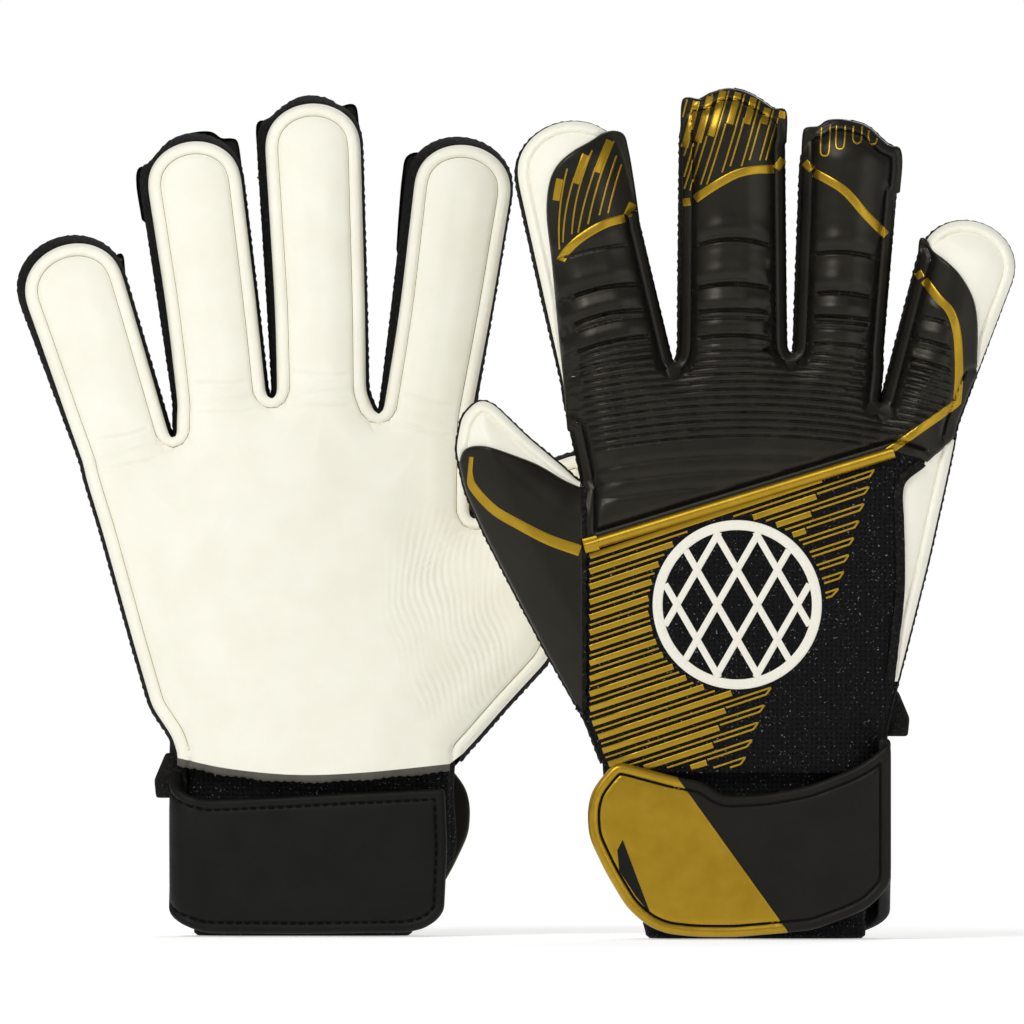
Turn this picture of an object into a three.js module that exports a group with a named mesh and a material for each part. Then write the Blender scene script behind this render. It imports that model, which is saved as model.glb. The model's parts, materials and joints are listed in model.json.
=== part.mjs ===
// A pair of goalkeeper gloves, standing on their cuffs one in front of the other. Both are right-hand
// gloves of one design: glove_a shows its latex palm to the front, glove_b shows its padded back.
//
// Each glove is drawn lying in its own x, y plane, back side up: +x towards the little finger,
// +y towards the fingertips, and z from the palm (0) to the back. Sizes are in millimetres.
// The pair's own frame is +X to the right, +Z up, and the front facing -Y.

import * as THREE from "three";

const WRIST_HEIGHT = 55; // where the palm and the back panel end and the knitted cuff begins
const CUFF_TOP = 54.6;
const GLOVE_GAP = 32; // free depth between the two gloves' palms, so that either thumb can bend
const EDGE_GAP = 0.6; // a digit is this much narrower on each side than its place on the hand
const BASE_GAP = 0.4; // between a digit and the hand, along the line that it bends on
const SIDE_WALL = 2.4; // thickness of the walls between palm and back
const SIDE_INSET = 1.2; // how far the walls stand in from the edge of the panels

// The layers from the palm face to the back face: [lowest z, highest z].
const LAYER = {
  palm: [0, 7],
  lining: [7.3, 8.3],
  digitPalm: [2, 8.3],
  wall: [8.6, 24.4],
  back: [24.7, 33],
  digitBack: [24.7, 31.5],
  piping: [33.3, 35.3],
  loopPatch: [29.3, 31.2],
  hookPatch: [31.5, 33],
  flap: [33.3, 37.8],
  endTab: [38.1, 39.3],
};

// The knitted cuff is an oval tube, and the strap band wraps its palm face and its outer side.
const CUFF = { halfWidth: 46, halfDepth: 12, middle: 17, wall: 2.5 };
const BAND = { low: 1.5, high: 50, left: -43, right: 50.2, front: 0.3, thickness: 4.4, back: 33 };
const TIP_ROUNDNESS = 0.42; // depth of a fingertip's rounded end, as a share of the finger's width
const ARC_STEPS = 10;

// A finger leaves the hand at `base`, leans by `lean` degrees towards the little finger's side,
// and has its own length and its width at the base and at the tip.
const GLOVES = {
  glove_a: {
    across: -66,
    palmDepth: GLOVE_GAP / 2,
    turned: true,
    fingers: {
      index: { base: [-34.9, 171.5], lean: -8, length: 95.5, width: [32, 36] },
      middle: { base: [0, 179.9], lean: 2.6, length: 100.2, width: [32.6, 35.6] },
      ring: { base: [32.9, 177.1], lean: 7.8, length: 91, width: [32.4, 35] },
      pinky: { base: [63.8, 160], lean: 18.8, length: 76.5, width: [32.5, 37] },
    },
    seam: { x: -50.3, low: 63, high: 138.5 },
    thumb: [
      [-62, 76], [-76.2, 91.4], [-84, 110], [-90, 130], [-93.5, 148],
      [-91.5, 157], [-86, 161.5], [-76, 158], [-62, 148],
    ],
    web: [[-50.3, 150]],
    outerSide: [[72.9, 134.3], [62.8, 98], [56.4, 76], [49.6, 66], [47, 56.8]],
    piping: { thumbSide: 117, outerSide: 148 },
    tab: { left: 50.8, low: 46 },
  },
  glove_b: {
    across: 72.9,
    palmDepth: -GLOVE_GAP / 2,
    turned: false,
    fingers: {
      index: { base: [-39.5, 185.3], lean: -13, length: 87, width: [38, 37] },
      middle: { base: [-1.8, 193.4], lean: 0, length: 88, width: [36.5, 35] },
      ring: { base: [33, 192], lean: 3.5, length: 79, width: [30, 33] },
      pinky: { base: [59, 171.5], lean: 17.8, length: 68.7, width: [27, 33] },
    },
    seam: { x: -51.3, low: 74, high: 150 },
    thumb: [
      [-62.7, 93.4], [-73, 112.7], [-83.5, 133], [-90.4, 148], [-93.5, 162],
      [-91.5, 173], [-86, 178.5], [-81.4, 177.3], [-69.6, 165.7], [-58, 156],
    ],
    web: [[-53.5, 160]],
    outerSide: [[69.3, 155], [62.7, 125.4], [56.1, 99], [52.5, 85], [48.8, 70], [47.5, 57]],
    piping: { thumbSide: 129, outerSide: 160.4 },
    tab: { left: 52.2, low: 67 },
  },
};

// The closing strap, seen from the back of the glove: it starts at the outer side and ends in a tab.
const FLAP = [
  [50.2, 66], [50.2, 18.2], [43, 10.5], [36, 7.4], [24.4, 3.1], [-1.6, 0.9], [-14, 1], [-24, 2],
  [-30.4, 4.7], [-37, 10.6], [-43.9, 22.2], [-49.5, 34], [-50, 43], [-48.5, 49.4], [-40.8, 59],
  [-20.8, 53.6], [-11.5, 52.2], [-5.6, 47.4], [8.7, 48.1], [22.4, 50.6], [36.1, 55.8], [42.9, 59.5],
];
const END_TAB = [
  [-18, 50.6], [15, 4.6], [-2, 3.1], [-14, 3.2], [-23, 4.2], [-29.2, 6.6], [-35.4, 12], [-42, 23],
  [-47.3, 34.4], [-47.8, 42.6], [-46.4, 48.4], [-40, 56.4],
];
const LOOP_PATCH = { left: -34, right: 8, low: 14, high: 42 };
const HOOK_PATCH = { left: -32, right: -10, low: 15, high: 41 };
const PULL_TAB = { width: 4.4, height: 15, corner: 1.8, from: 12, to: 21 };

const surface = (color, roughness, metalness = 0) =>
  new THREE.MeshStandardMaterial({ color, roughness, metalness });
const MATERIAL = {
  latex: surface(0xf3f0df, 0.75),
  foam: surface(0x2b2a26, 0.6),
  mesh: surface(0x0f0f13, 0.9),
  knit: surface(0x1b1b1a, 0.95),
  strap: surface(0x34322d, 0.55),
  gold: surface(0xa98a26, 0.35, 0.6),
  hook: surface(0x101010, 0.9),
  lining: surface(0x8c8c88, 0.95),
};

const vector = ([x, y]) => new THREE.Vector2(x, y);

// A path of points moved by `distance` towards its right-hand side, with sharp corners kept sharp.
function movedIn(points, distance, closed = false) {
  const last = points.length - 1;
  const sideOf = (a, b) => {
    const along = b.clone().sub(a).normalize();
    return new THREE.Vector2(along.y, -along.x);
  };
  return points.map((point, i) => {
    const before = i > 0 ? points[i - 1] : closed ? points[last] : null;
    const after = i < last ? points[i + 1] : closed ? points[0] : null;
    const sides = [before && sideOf(before, point), after && sideOf(point, after)].filter(Boolean);
    const middle = sides.reduce((sum, side) => sum.clone().add(side)).normalize();
    return point.clone().addScaledVector(middle, distance / middle.dot(sides[0]));
  });
}

// The outline of a wall that follows `path` on its right-hand side.
const wallOutline = (path, thickness) => [...path, ...movedIn(path, thickness).reverse()];

// The part of an outline on the side of the line through a and b that `side` (1 or -1) names.
function cutAlong(outline, a, b, side) {
  const height = (p) => side * ((b.x - a.x) * (p.y - a.y) - (b.y - a.y) * (p.x - a.x));
  return outline.flatMap((point, i) => {
    const next = outline[(i + 1) % outline.length];
    const [here, there] = [height(point), height(next)];
    const kept = here >= 0 ? [point] : [];
    const crossing = here * there < 0 ? [point.clone().lerp(next, here / (here - there))] : [];
    return [...kept, ...crossing];
  });
}

// A flat piece with the given outline, between two heights.
function plate(outline, [low, high], material) {
  const geometry = new THREE.ExtrudeGeometry(new THREE.Shape(outline), {
    depth: high - low,
    bevelEnabled: false,
  });
  geometry.translate(0, 0, low);
  return new THREE.Mesh(geometry, material);
}

// A piece that runs along y, with a given section in x and z. Its hole, if any, is turned the
// other way round, as the geometry asks of a clockwise outline.
function sleeve(section, hole, low, high, material) {
  const flipped = (points) => points.map((p) => new THREE.Vector2(p.x, -p.y));
  const shape = new THREE.Shape(flipped(section));
  if (hole) shape.holes.push(new THREE.Path(flipped(hole).reverse()));
  const geometry = new THREE.ExtrudeGeometry(shape, { depth: high - low, bevelEnabled: false });
  geometry.rotateX(-Math.PI / 2);
  geometry.translate(0, low, 0);
  return new THREE.Mesh(geometry, material);
}

// A flattened oval around (0, middle): two straight runs joined by half circles.
function oval(halfWidth, halfDepth, middle) {
  const straight = halfWidth - halfDepth;
  const end = (x, from) =>
    new THREE.EllipseCurve(x, middle, halfDepth, halfDepth, from, from + Math.PI).getPoints(ARC_STEPS);
  return [...end(straight, -Math.PI / 2), ...end(-straight, Math.PI / 2)];
}

function rectangle({ left, right, low, high }) {
  return [[left, low], [left, high], [right, high], [right, low]].map(vector);
}

// From the base on the thumb's side, round the tip, to the base on the other side.
function fingerOutline({ length, width: [baseWidth, tipWidth] }) {
  const reach = tipWidth * TIP_ROUNDNESS;
  const halfBase = baseWidth / 2 - EDGE_GAP;
  const halfTip = tipWidth / 2 - EDGE_GAP;
  const tip = new THREE.EllipseCurve(0, length - reach, halfTip, reach, Math.PI, 0, true);
  return [
    new THREE.Vector2(-halfBase, BASE_GAP),
    ...tip.getPoints(ARC_STEPS),
    new THREE.Vector2(halfBase, BASE_GAP),
  ];
}

// The two ends of the line where a finger joins the hand.
function baseEnds({ base, lean, width: [baseWidth] }) {
  const turn = THREE.MathUtils.degToRad(lean);
  const half = new THREE.Vector2(Math.cos(turn), -Math.sin(turn)).multiplyScalar(baseWidth / 2);
  return [vector(base).sub(half), vector(base).add(half)];
}

// Palm side, back side and the wall that joins them round the tip: one finger stall or the thumb's.
function digitPieces(outline) {
  const wallPath = movedIn(outline, SIDE_INSET);
  return {
    palm: plate(outline, LAYER.digitPalm, MATERIAL.latex),
    gusset: plate(wallOutline(wallPath, SIDE_WALL), LAYER.wall, MATERIAL.knit),
    back: plate(outline, LAYER.digitBack, MATERIAL.foam),
  };
}

function fingerGroup(name, finger) {
  const group = new THREE.Group();
  group.position.set(...finger.base, 0);
  group.rotation.z = -THREE.MathUtils.degToRad(finger.lean);
  for (const [layer, mesh] of Object.entries(digitPieces(fingerOutline(finger)))) {
    mesh.name = `${name}_${layer}`;
    group.add(mesh);
  }
  return group;
}

function thumbGroup(name, { seam, thumb }) {
  const x = seam.x - BASE_GAP;
  const outline = [[x, seam.low], ...thumb, [x, seam.high]].map(vector);
  const group = new THREE.Group();
  for (const [layer, mesh] of Object.entries(digitPieces(outline))) {
    mesh.name = `${name}_${layer}`;
    group.add(mesh);
  }
  return group;
}

// The hand's outline: up the thumb's side, across the four finger bases, and down the outer side.
function handOutline({ seam, web, fingers, outerSide }) {
  return [
    new THREE.Vector2(-44, WRIST_HEIGHT),
    new THREE.Vector2(seam.x, seam.low),
    new THREE.Vector2(seam.x, seam.high),
    ...web.map(vector),
    ...Object.values(fingers).flatMap(baseEnds),
    ...outerSide.map(vector),
    new THREE.Vector2(46, WRIST_HEIGHT),
  ];
}

function handPieces(spec) {
  const outline = handOutline(spec);
  const { seam, web, piping, outerSide } = spec;
  const [indexCorner] = baseEnds(spec.fingers.index);
  const [, pinkyCorner] = baseEnds(spec.fingers.pinky);
  const thumbEnd = new THREE.Vector2(seam.x, piping.thumbSide);
  const outerEnd = new THREE.Vector2(-seam.x, piping.outerSide);
  const across = outerEnd.clone().sub(thumbEnd).normalize();
  const up = new THREE.Vector2(-across.y, across.x);
  const beadHalf = 2;
  const panelGap = 0.2;
  const shifted = (distance) => [thumbEnd, outerEnd].map((p) => p.clone().addScaledVector(up, distance));

  const thumbWall = [new THREE.Vector2(-44, WRIST_HEIGHT), new THREE.Vector2(seam.x, seam.low)];
  const webWall = [new THREE.Vector2(seam.x, seam.high + 1), ...web.map(vector), indexCorner];
  const outerWall = [pinkyCorner, ...outerSide.map(vector), new THREE.Vector2(46, WRIST_HEIGHT)];
  const wall = (path, material) =>
    plate(wallOutline(movedIn(path, SIDE_INSET), SIDE_WALL), LAYER.wall, material);

  const liningTop = seam.high + 15;
  const lower = cutAlong(
    outline, new THREE.Vector2(0, liningTop), new THREE.Vector2(1, liningTop), -1,
  );
  const beadStart = thumbEnd.clone().addScaledVector(across, 2);
  const beadEnd = outerEnd.clone().addScaledVector(across, 2);
  const bead = [
    beadStart.clone().addScaledVector(up, -beadHalf),
    beadStart.clone().addScaledVector(up, beadHalf),
    beadEnd.clone().addScaledVector(up, beadHalf),
    beadEnd.clone().addScaledVector(up, -beadHalf),
  ];
  return {
    palm_latex: plate(outline, LAYER.palm, MATERIAL.latex),
    palm_lining: plate(movedIn(lower, 2, true), LAYER.lining, MATERIAL.lining),
    ribbed_back_panel: plate(cutAlong(outline, ...shifted(panelGap), 1), LAYER.back, MATERIAL.foam),
    mesh_back_panel: plate(cutAlong(outline, ...shifted(-panelGap), -1), LAYER.back, MATERIAL.mesh),
    seam_piping: plate(bead, LAYER.piping, MATERIAL.gold),
    thumb_side_wall: wall(thumbWall, MATERIAL.knit),
    web_wall: wall(webWall, MATERIAL.knit),
    outer_side_wall: wall(outerWall, MATERIAL.knit),
  };
}

// A tab that stands out from the side of the wrist, with its two outer corners rounded.
function roundedTab({ left, low }, { width, height, corner }) {
  const shape = new THREE.Shape();
  shape.moveTo(left, low);
  shape.lineTo(left, low + height);
  shape.lineTo(left + width - corner, low + height);
  shape.absarc(left + width - corner, low + height - corner, corner, Math.PI / 2, 0, true);
  shape.lineTo(left + width, low + corner);
  shape.absarc(left + width - corner, low + corner, corner, 0, -Math.PI / 2, true);
  return shape.getPoints(4);
}

function cuffPieces({ tab }) {
  const outer = oval(CUFF.halfWidth, CUFF.halfDepth, CUFF.middle);
  const inner = oval(CUFF.halfWidth - CUFF.wall, CUFF.halfDepth - CUFF.wall, CUFF.middle);
  const { left, right, front, thickness, back } = BAND;
  const band = [
    [left, front], [right, front], [right, back],
    [right - 3.6, back], [right - 3.6, front + thickness], [left, front + thickness],
  ].map(vector);
  return {
    cuff_sleeve: sleeve(outer, inner, 0, CUFF_TOP, MATERIAL.mesh),
    strap_band: sleeve(band, null, BAND.low, BAND.high, MATERIAL.strap),
    loop_patch: plate(rectangle(LOOP_PATCH), LAYER.loopPatch, MATERIAL.hook),
    pull_tab: plate(roundedTab(tab, PULL_TAB), [PULL_TAB.from, PULL_TAB.to], MATERIAL.knit),
  };
}

function flapPieces() {
  return {
    strap_flap: plate(FLAP.map(vector), LAYER.flap, MATERIAL.strap),
    hook_patch: plate(rectangle(HOOK_PATCH), LAYER.hookPatch, MATERIAL.hook),
    strap_end_tab: plate(END_TAB.map(vector), LAYER.endTab, MATERIAL.gold),
  };
}

// One glove, raised from its drawing plane so that it stands on its cuff.
function gloveGroup(name, spec) {
  const glove = new THREE.Group();
  const pieces = { ...handPieces(spec), ...cuffPieces(spec), ...flapPieces() };
  for (const [piece, mesh] of Object.entries(pieces)) {
    mesh.name = `${name}_${piece}`;
    glove.add(mesh);
  }
  glove.add(thumbGroup(`${name}_thumb`, spec));
  for (const [finger, measures] of Object.entries(spec.fingers)) {
    glove.add(fingerGroup(`${name}_${finger}`, measures));
  }
  glove.rotation.x = Math.PI / 2;

  const stand = new THREE.Group();
  stand.add(glove);
  stand.position.set(spec.across, spec.palmDepth, 0);
  stand.rotation.z = spec.turned ? Math.PI : 0;
  return stand;
}

const pair = new THREE.Group();
for (const [name, spec] of Object.entries(GLOVES)) pair.add(gloveGroup(name, spec));

export default pair;
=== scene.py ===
"""A pair of goalkeeper gloves: one shows its latex palm, the other its padded back.

Each glove is drawn lying flat in millimetres, as its CAD is: x towards the little finger, y towards
the fingertips and z from the palm to the back. `Glove` reads where that drawing stands from the frame.
Every layer is drawn once for the whole glove. `add` then cuts it at the digits' bases, into a part for
the hand and a part for each digit.
"""

import json
import math

import bpy
import numpy as np
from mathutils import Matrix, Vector
from mathutils.geometry import delaunay_2d_cdt
from mathutils.kdtree import KDTree


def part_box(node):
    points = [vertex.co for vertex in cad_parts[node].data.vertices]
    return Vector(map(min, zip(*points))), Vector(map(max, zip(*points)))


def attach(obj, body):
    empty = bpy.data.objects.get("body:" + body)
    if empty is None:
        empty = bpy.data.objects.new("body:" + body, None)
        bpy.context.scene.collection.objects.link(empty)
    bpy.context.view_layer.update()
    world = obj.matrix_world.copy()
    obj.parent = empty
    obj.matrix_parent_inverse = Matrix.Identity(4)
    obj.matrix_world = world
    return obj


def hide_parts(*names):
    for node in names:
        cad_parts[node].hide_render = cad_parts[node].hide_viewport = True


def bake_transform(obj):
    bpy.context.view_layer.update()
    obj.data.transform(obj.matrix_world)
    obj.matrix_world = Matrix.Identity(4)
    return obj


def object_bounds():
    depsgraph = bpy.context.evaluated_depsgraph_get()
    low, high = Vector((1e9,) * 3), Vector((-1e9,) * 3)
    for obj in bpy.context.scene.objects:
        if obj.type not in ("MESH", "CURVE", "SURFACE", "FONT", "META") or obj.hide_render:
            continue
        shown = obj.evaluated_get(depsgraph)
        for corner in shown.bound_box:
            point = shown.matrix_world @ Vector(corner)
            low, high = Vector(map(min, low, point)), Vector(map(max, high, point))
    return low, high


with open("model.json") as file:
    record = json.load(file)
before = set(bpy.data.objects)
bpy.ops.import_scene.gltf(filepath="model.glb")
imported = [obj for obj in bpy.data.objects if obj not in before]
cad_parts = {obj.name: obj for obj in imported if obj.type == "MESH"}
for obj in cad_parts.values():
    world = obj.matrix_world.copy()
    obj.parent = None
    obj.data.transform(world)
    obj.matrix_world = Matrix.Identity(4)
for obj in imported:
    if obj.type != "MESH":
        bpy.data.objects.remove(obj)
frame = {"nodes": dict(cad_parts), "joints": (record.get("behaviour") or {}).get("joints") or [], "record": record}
cad_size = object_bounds()

MM = 0.001
DIGITS = ("thumb", "index", "middle", "ring", "pinky")
FINGERS = DIGITS[1:]

# ---------------------------------------------------------------- sizes, in millimetres

PALM_EDGE_Z = 8.5  # where the latex palm meets the side walls
BACK_EDGE_Z = 24.5  # where the back meets them
PALM_RIM = 3.9  # width of the folded latex rim round the palm
ROLL_RIM = 3.1  # and of the one on the back
PALM_CREASE = PALM_RIM + 0.3  # how far in from the edge the folded rim meets the palm
ROLL_CREASE = ROLL_RIM + 0.5
FLANGE = 3.4  # width of the flat edge of the back foam, outside its stitches
FOAM_SEAM = FLANGE + 0.4  # how far in the pressed line with the stitches is
HEM = 3.3  # width of the strap's piped edge
HEM_SEAM = 3.6  # how far in its stitches are
DOME_REACH = 14.0  # distance from the edge at which the back is at its full height
DOME_HEIGHT = 7.2
FOAM_THICKNESS = 1.0
EDGE_ROWS = (0.15, 0.4, 0.8, 1.3, 2.0, 2.8, 3.4, 3.8, 4.2, 4.7, 5.3)  # distances of mesh rows from an edge
PAD_ROWS = (0.12, 0.35, 0.7, 1.2, 1.9, 2.7, 3.3, 3.6, 3.9, 4.5)
WALL_ROWS = 15
BEND_START = 2.0  # BEND_START = 2.0 # from its base, where a digit's layers are cut from the hand's
BEND_END = 16.0
RIB_PITCH = 2.56
PIPING_RADIUS = 1.9
STITCH = {"length": 2.3, "pitch": 3.0, "radius": 0.36}
BADGE_OFFSET = np.array([50.8, -19.1])  # of its middle from the start of the piping
BADGE_RADIUS = 28.0

# Features of the back, drawn in each digit's own frame: (distance from its base, distance across).
# They are drawn for glove_b, and stretched to the length and width of glove_a's fingers.
FEATURE_LENGTH = {"index": 87.0, "middle": 88.0, "ring": 79.0, "pinky": 68.7}
FEATURE_WIDTH = {"index": 18.0, "middle": 17.3, "ring": 15.4, "pinky": 15.0}

# Where the black foam ends and the white latex under it shows, going round the glove clockwise.
LATEX_BORDERS = {
    "thumb": [(41.0, 8.5), (39.6, 11.6), (36.5, 13.0), (31.2, 12.7), (23, 10), (14.7, 6.7), (6.4, 1.8),
              (0.5, -0.8)],
    "index": [(-13, -20.2), (-6, -19.2), (2, -18), (17, -16.2), (30, -14.5), (43, -12.8), (58, -11.1),
              (67.5, -8.2), (73, -4.4), (76.4, 1.2), (78.6, 8), (80.6, 14.2), (78.8, 19), (73, 19.6),
              (62, 19), (50, 18)],
    "pinky": [(52, -15.6), (57.4, -16.6), (58, -14.6), (55, -11.6), (53.2, -7), (50.2, -1.4), (44.9, 4.2),
              (39.6, 7.4), (33.4, 9.7), (26, 11.8), (19, 13.9)],
}
# The other two fingertips: the foam's flat edge stands out at two corners, beside a rounded end.
TIPS = {
    "middle": [(70, -17.2), (82.6, -16.9), (85, -15), (84.4, -10.4), (86.4, -7.4), (88, -2), (87, 4),
               (83.8, 9.6), (81.4, 13), (81.2, 16.4), (78.5, 17.5), (70, 17.3)],
    "ring": [(62, -15.8), (73.8, -15.9), (75.8, -14.2), (76.3, -11), (78.6, -8), (79, -2), (77.5, 4.5),
             (73.8, 9), (71.5, 12), (70.8, 15.4), (66, 16.6), (56, 16.4)],
}
# The same border down the outer side of the hand, from the middle finger's base.
OUTER_BORDER = [
    (72.4, -28.5), (64, -36), (56.6, -43), (56.4, -56), (56.8, -68), (56.6, -80), (55, -94), (53.5, -108),
]

# Pressed grooves across the fingers: (distance from the base, how much the middle arches forward, depth).
GROOVES = {
    "index": [(43.3, 1.0, 0.6), (30.4, 1.6, 1.0), (21.7, 1.7, 0.9), (19.3, 1.6, 0.5), (12.5, 1.2, 0.9),
              (10.2, 1.1, 0.5), (7.8, 1.0, 0.5), (5.2, 0.9, 0.5)],
    "middle": [(37.8, 2.5, 1.0), (23.1, 1.8, 1.0), (14.5, 1.0, 0.9), (12, 0.6, 0.6), (6.1, 1.3, 0.9)],
    "ring": [(35, 2.4, 1.0), (21.5, 1.9, 1.0), (13.6, 1.0, 0.9), (11.8, 0.8, 0.6), (10, 0.7, 0.5),
             (4.6, 1.0, 0.8)],
    "pinky": [(33.6, 1.6, 0.8), (26.1, 1.4, 0.8), (24, 1.2, 0.5), (19.1, 1.2, 0.8), (16.4, 1.0, 0.5),
              (13.8, 1.0, 0.5), (11.2, 1.0, 0.5), (8.6, 1.0, 0.5), (6, 1.0, 0.5)],
}
# The gold stripe across each digit's back.
STRIPES = {
    "thumb": [(37.1, 9.4), (37.5, 3.5), (36.4, -0.8), (29.6, -8.1), (21.3, -13), (11.4, -18), (1.2, -21.6)],
    "index": [(36.4, -12.6), (39, -11.6), (43.6, -8.8), (47, -4), (49.4, 1.5), (50.9, 7.5), (51.2, 13.4)],
    "middle": [(51.2, -12.5), (54.2, -8.2), (57.2, -3.4), (59.6, 1.4), (60.8, 6.8), (61.1, 13.2)],
    "ring": [(60.7, -11.4), (55.5, -1.7), (47.7, 6), (41.6, 12.8)],
    "pinky": [(44.8, -11.4), (40.6, -5.7), (37.3, -0.5), (30.7, 3.7), (19.2, 7.8), (10.4, 10)],
}
# The little finger's stripe turns there, and goes on over the hand to the piping's end.
STRIPE_ON_HAND = [(7.6, 8.8)]
STRIPE_END = (50.6, -32.6)
# Where the stripe goes on over the flat edge, a little out of line.
STRIPE_ENDS = {
    "index": [[(51.9, 14.4), (55.4, 17)]],
    "middle": [[(50, -17), (50.4, -13.9)], [(61.2, 13.9), (65.4, 16.8)]],
    "ring": [[(61.6, -12.2), (64, -14.8)], [(41.4, 13.6), (39, 16.2)]],
    "pinky": [[(45.2, -12.4), (48, -15.4)]],
}
# Gold blocks near the fingertips: (distance along, distance across, slope, bend) of each one's lower
# left corner and of the left edge that goes on down from it as a thin line. `beside` is how far off
# the plain thin line between two blocks runs.
BLOCK_WIDTH = 2.4
FINGER_PRINTS = {
    "index": {"beside": 2.9, "blocks": [(62.6, -8.0, 0.38, 0.007), (66.2, -0.7, 0.55, 0.0085),
                                        (68.3, 6.95, 0.62, 0.006), (72.0, 15.4, 0.62, 0.004)]},
    "middle": {"beside": -2.0, "blocks": [(66.5, -17.6, 0.28, -0.001), (69.1, -13.0, 0.28, -0.001),
                                          (71.8, -8.7, 0.29, -0.001), (75.0, -2.8, 0.29, -0.001),
                                          (76.6, 3.2, 0.28, -0.001), (76.9, 8.8, 0.27, -0.001),
                                          (77.4, 14.2, 0.26, -0.001)]},
}
# Gold bars on the mesh, from the piping's lower end: where the thick bars stop, and the thin loops.
BAR_PITCH = 4.8
BAR_COUNT = 17
BAR_LEAN = 1.4  # degrees from the piping
BAR_ENDS = [(80.5, 28), (78.4, 21.6), (73.5, 5.6), (48.8, -48.5), (39.9, -73.4), (36, -84)]
LOOP_ENDS = [(97.5, 31), (96.1, 25.8), (84.2, -14.2), (61.8, -46.8), (50.5, -77.8), (48, -86)]
RIBS = {"high": 3.4, "low": -28.6, "centre": 5.0, "sag": 0.00185}


# ---------------------------------------------------------------- paths and outlines


def unit(vectors):
    return vectors / np.maximum(np.linalg.norm(vectors, axis=-1, keepdims=True), 1e-9)


def resampled(points, spacing, closed=False):
    """Evenly spaced points along a path, about `spacing` apart."""
    points = np.asarray(points, float)
    if closed:
        points = np.vstack([points, points[:1]])
    lengths = np.r_[0, np.cumsum(np.linalg.norm(np.diff(points, axis=0), axis=1))]
    count = max(2, int(round(lengths[-1] / spacing)) + 1)
    at = np.linspace(0, lengths[-1], count)
    found = np.column_stack([np.interp(at, lengths, points[:, k]) for k in range(points.shape[1])])
    return found[:-1] if closed else found


def curve(points, spacing=0.8):
    """A smooth path through the given points."""
    p = np.asarray(points, float)
    p = np.vstack([2 * p[0] - p[1], p, 2 * p[-1] - p[-2]])
    t = np.linspace(0, 1, 12, endpoint=False)[:, None]
    spans = []
    for a, b, c, d in zip(p, p[1:], p[2:], p[3:]):
        square, cube = 2 * a - 5 * b + 4 * c - d, 3 * b - a - 3 * c + d
        spans.append(0.5 * (2 * b + (c - a) * t + square * t**2 + cube * t**3))
    return resampled(np.vstack([*spans, p[-2:-1]]), spacing)


def smoothed(loop, sigma):
    """A closed loop of evenly spaced points with its corners rounded off."""
    reach = int(4 * sigma) + 1
    weights = np.exp(-0.5 * (np.arange(-reach, reach + 1) / sigma) ** 2)
    weights /= weights.sum()
    wrapped = np.vstack([loop[-reach:], loop, loop[:reach]])
    return np.column_stack([np.convolve(wrapped[:, k], weights, "valid") for k in range(2)])


def rounded(loop, sigma, spacing=1.0):
    """A closed loop of any points with its corners rounded off."""
    return smoothed(resampled(loop, spacing, closed=True), sigma)


def right_of(path, closed=False):
    """At each point of a path, the direction to its right-hand side: inwards on a clockwise outline."""
    if closed:
        along = np.roll(path, -1, axis=0) - np.roll(path, 1, axis=0)
    else:
        along = np.gradient(path, axis=0)
    along = unit(along)
    return np.column_stack([along[:, 1], -along[:, 0]])


def kd_tree(points):
    tree = KDTree(len(points))
    for i, (x, y) in enumerate(points):
        tree.insert((x, y, 0), i)
    tree.balance()
    return tree


class Path:
    """Points along one or more lines, and the distance from any point to them."""

    def __init__(self, points):
        self.tree = kd_tree(points)

    def distance(self, xy):
        return np.array([self.tree.find((x, y, 0))[2] for x, y in xy])


class Outline:
    """A clockwise closed loop of points, and the depth of any point inside it."""

    def __init__(self, points, spacing=1.0):
        self.points = resampled(points, spacing, closed=True)
        self.fine = resampled(self.points, 0.4, closed=True)
        self.inward = right_of(self.fine, closed=True)
        self.tree = kd_tree(self.fine)

    def depth(self, xy):
        """The distance to the loop, negative outside it."""
        nearest = np.array([self.tree.find((x, y, 0))[1] for x, y in xy])
        best = np.full(len(xy), np.inf)
        offset = xy - self.fine[nearest]
        for way in (-1, 1):
            side = self.fine[(nearest + way) % len(self.fine)] - self.fine[nearest]
            along = np.clip((offset * side).sum(1) / (side**2).sum(1), 0, 1)
            best = np.minimum(best, np.linalg.norm(offset - along[:, None] * side, axis=1))
        return best * np.where((offset * self.inward[nearest]).sum(1) < 0, -1, 1)

    def distance(self, xy):
        return np.abs(self.depth(xy))

    def inset(self, distance, spacing=0.8):
        """The loop moved inwards, without the loops that this makes in tight corners."""
        loop = resampled(self.points, 0.5, closed=True)
        moved = loop + right_of(loop, closed=True) * distance
        moved = moved[self.depth(moved) > distance - 0.12]
        return resampled(moved, spacing, closed=True)


def stretch(loop, start, end):
    """The part of a loop from the point nearest `start` round to the one nearest `end`."""
    i, j = (int(np.argmin(np.linalg.norm(loop - np.asarray(p), axis=1))) for p in (start, end))
    return loop[i:j + 1] if i <= j else np.vstack([loop[i:], loop[:j + 1]])


def lattice(outline, margin, spacing):
    """An even lattice of points inside an outline, at least `margin` from its edge."""
    low, high = outline.points.min(0), outline.points.max(0)
    rows = np.arange(low[1], high[1], spacing * 0.866)
    columns = np.arange(low[0], high[0], spacing)
    x, y = np.meshgrid(columns, rows)
    x = x + (np.arange(len(rows)) % 2)[:, None] * spacing / 2
    xy = np.column_stack([x.ravel(), y.ravel()])
    return xy[outline.depth(xy) > margin]


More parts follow.
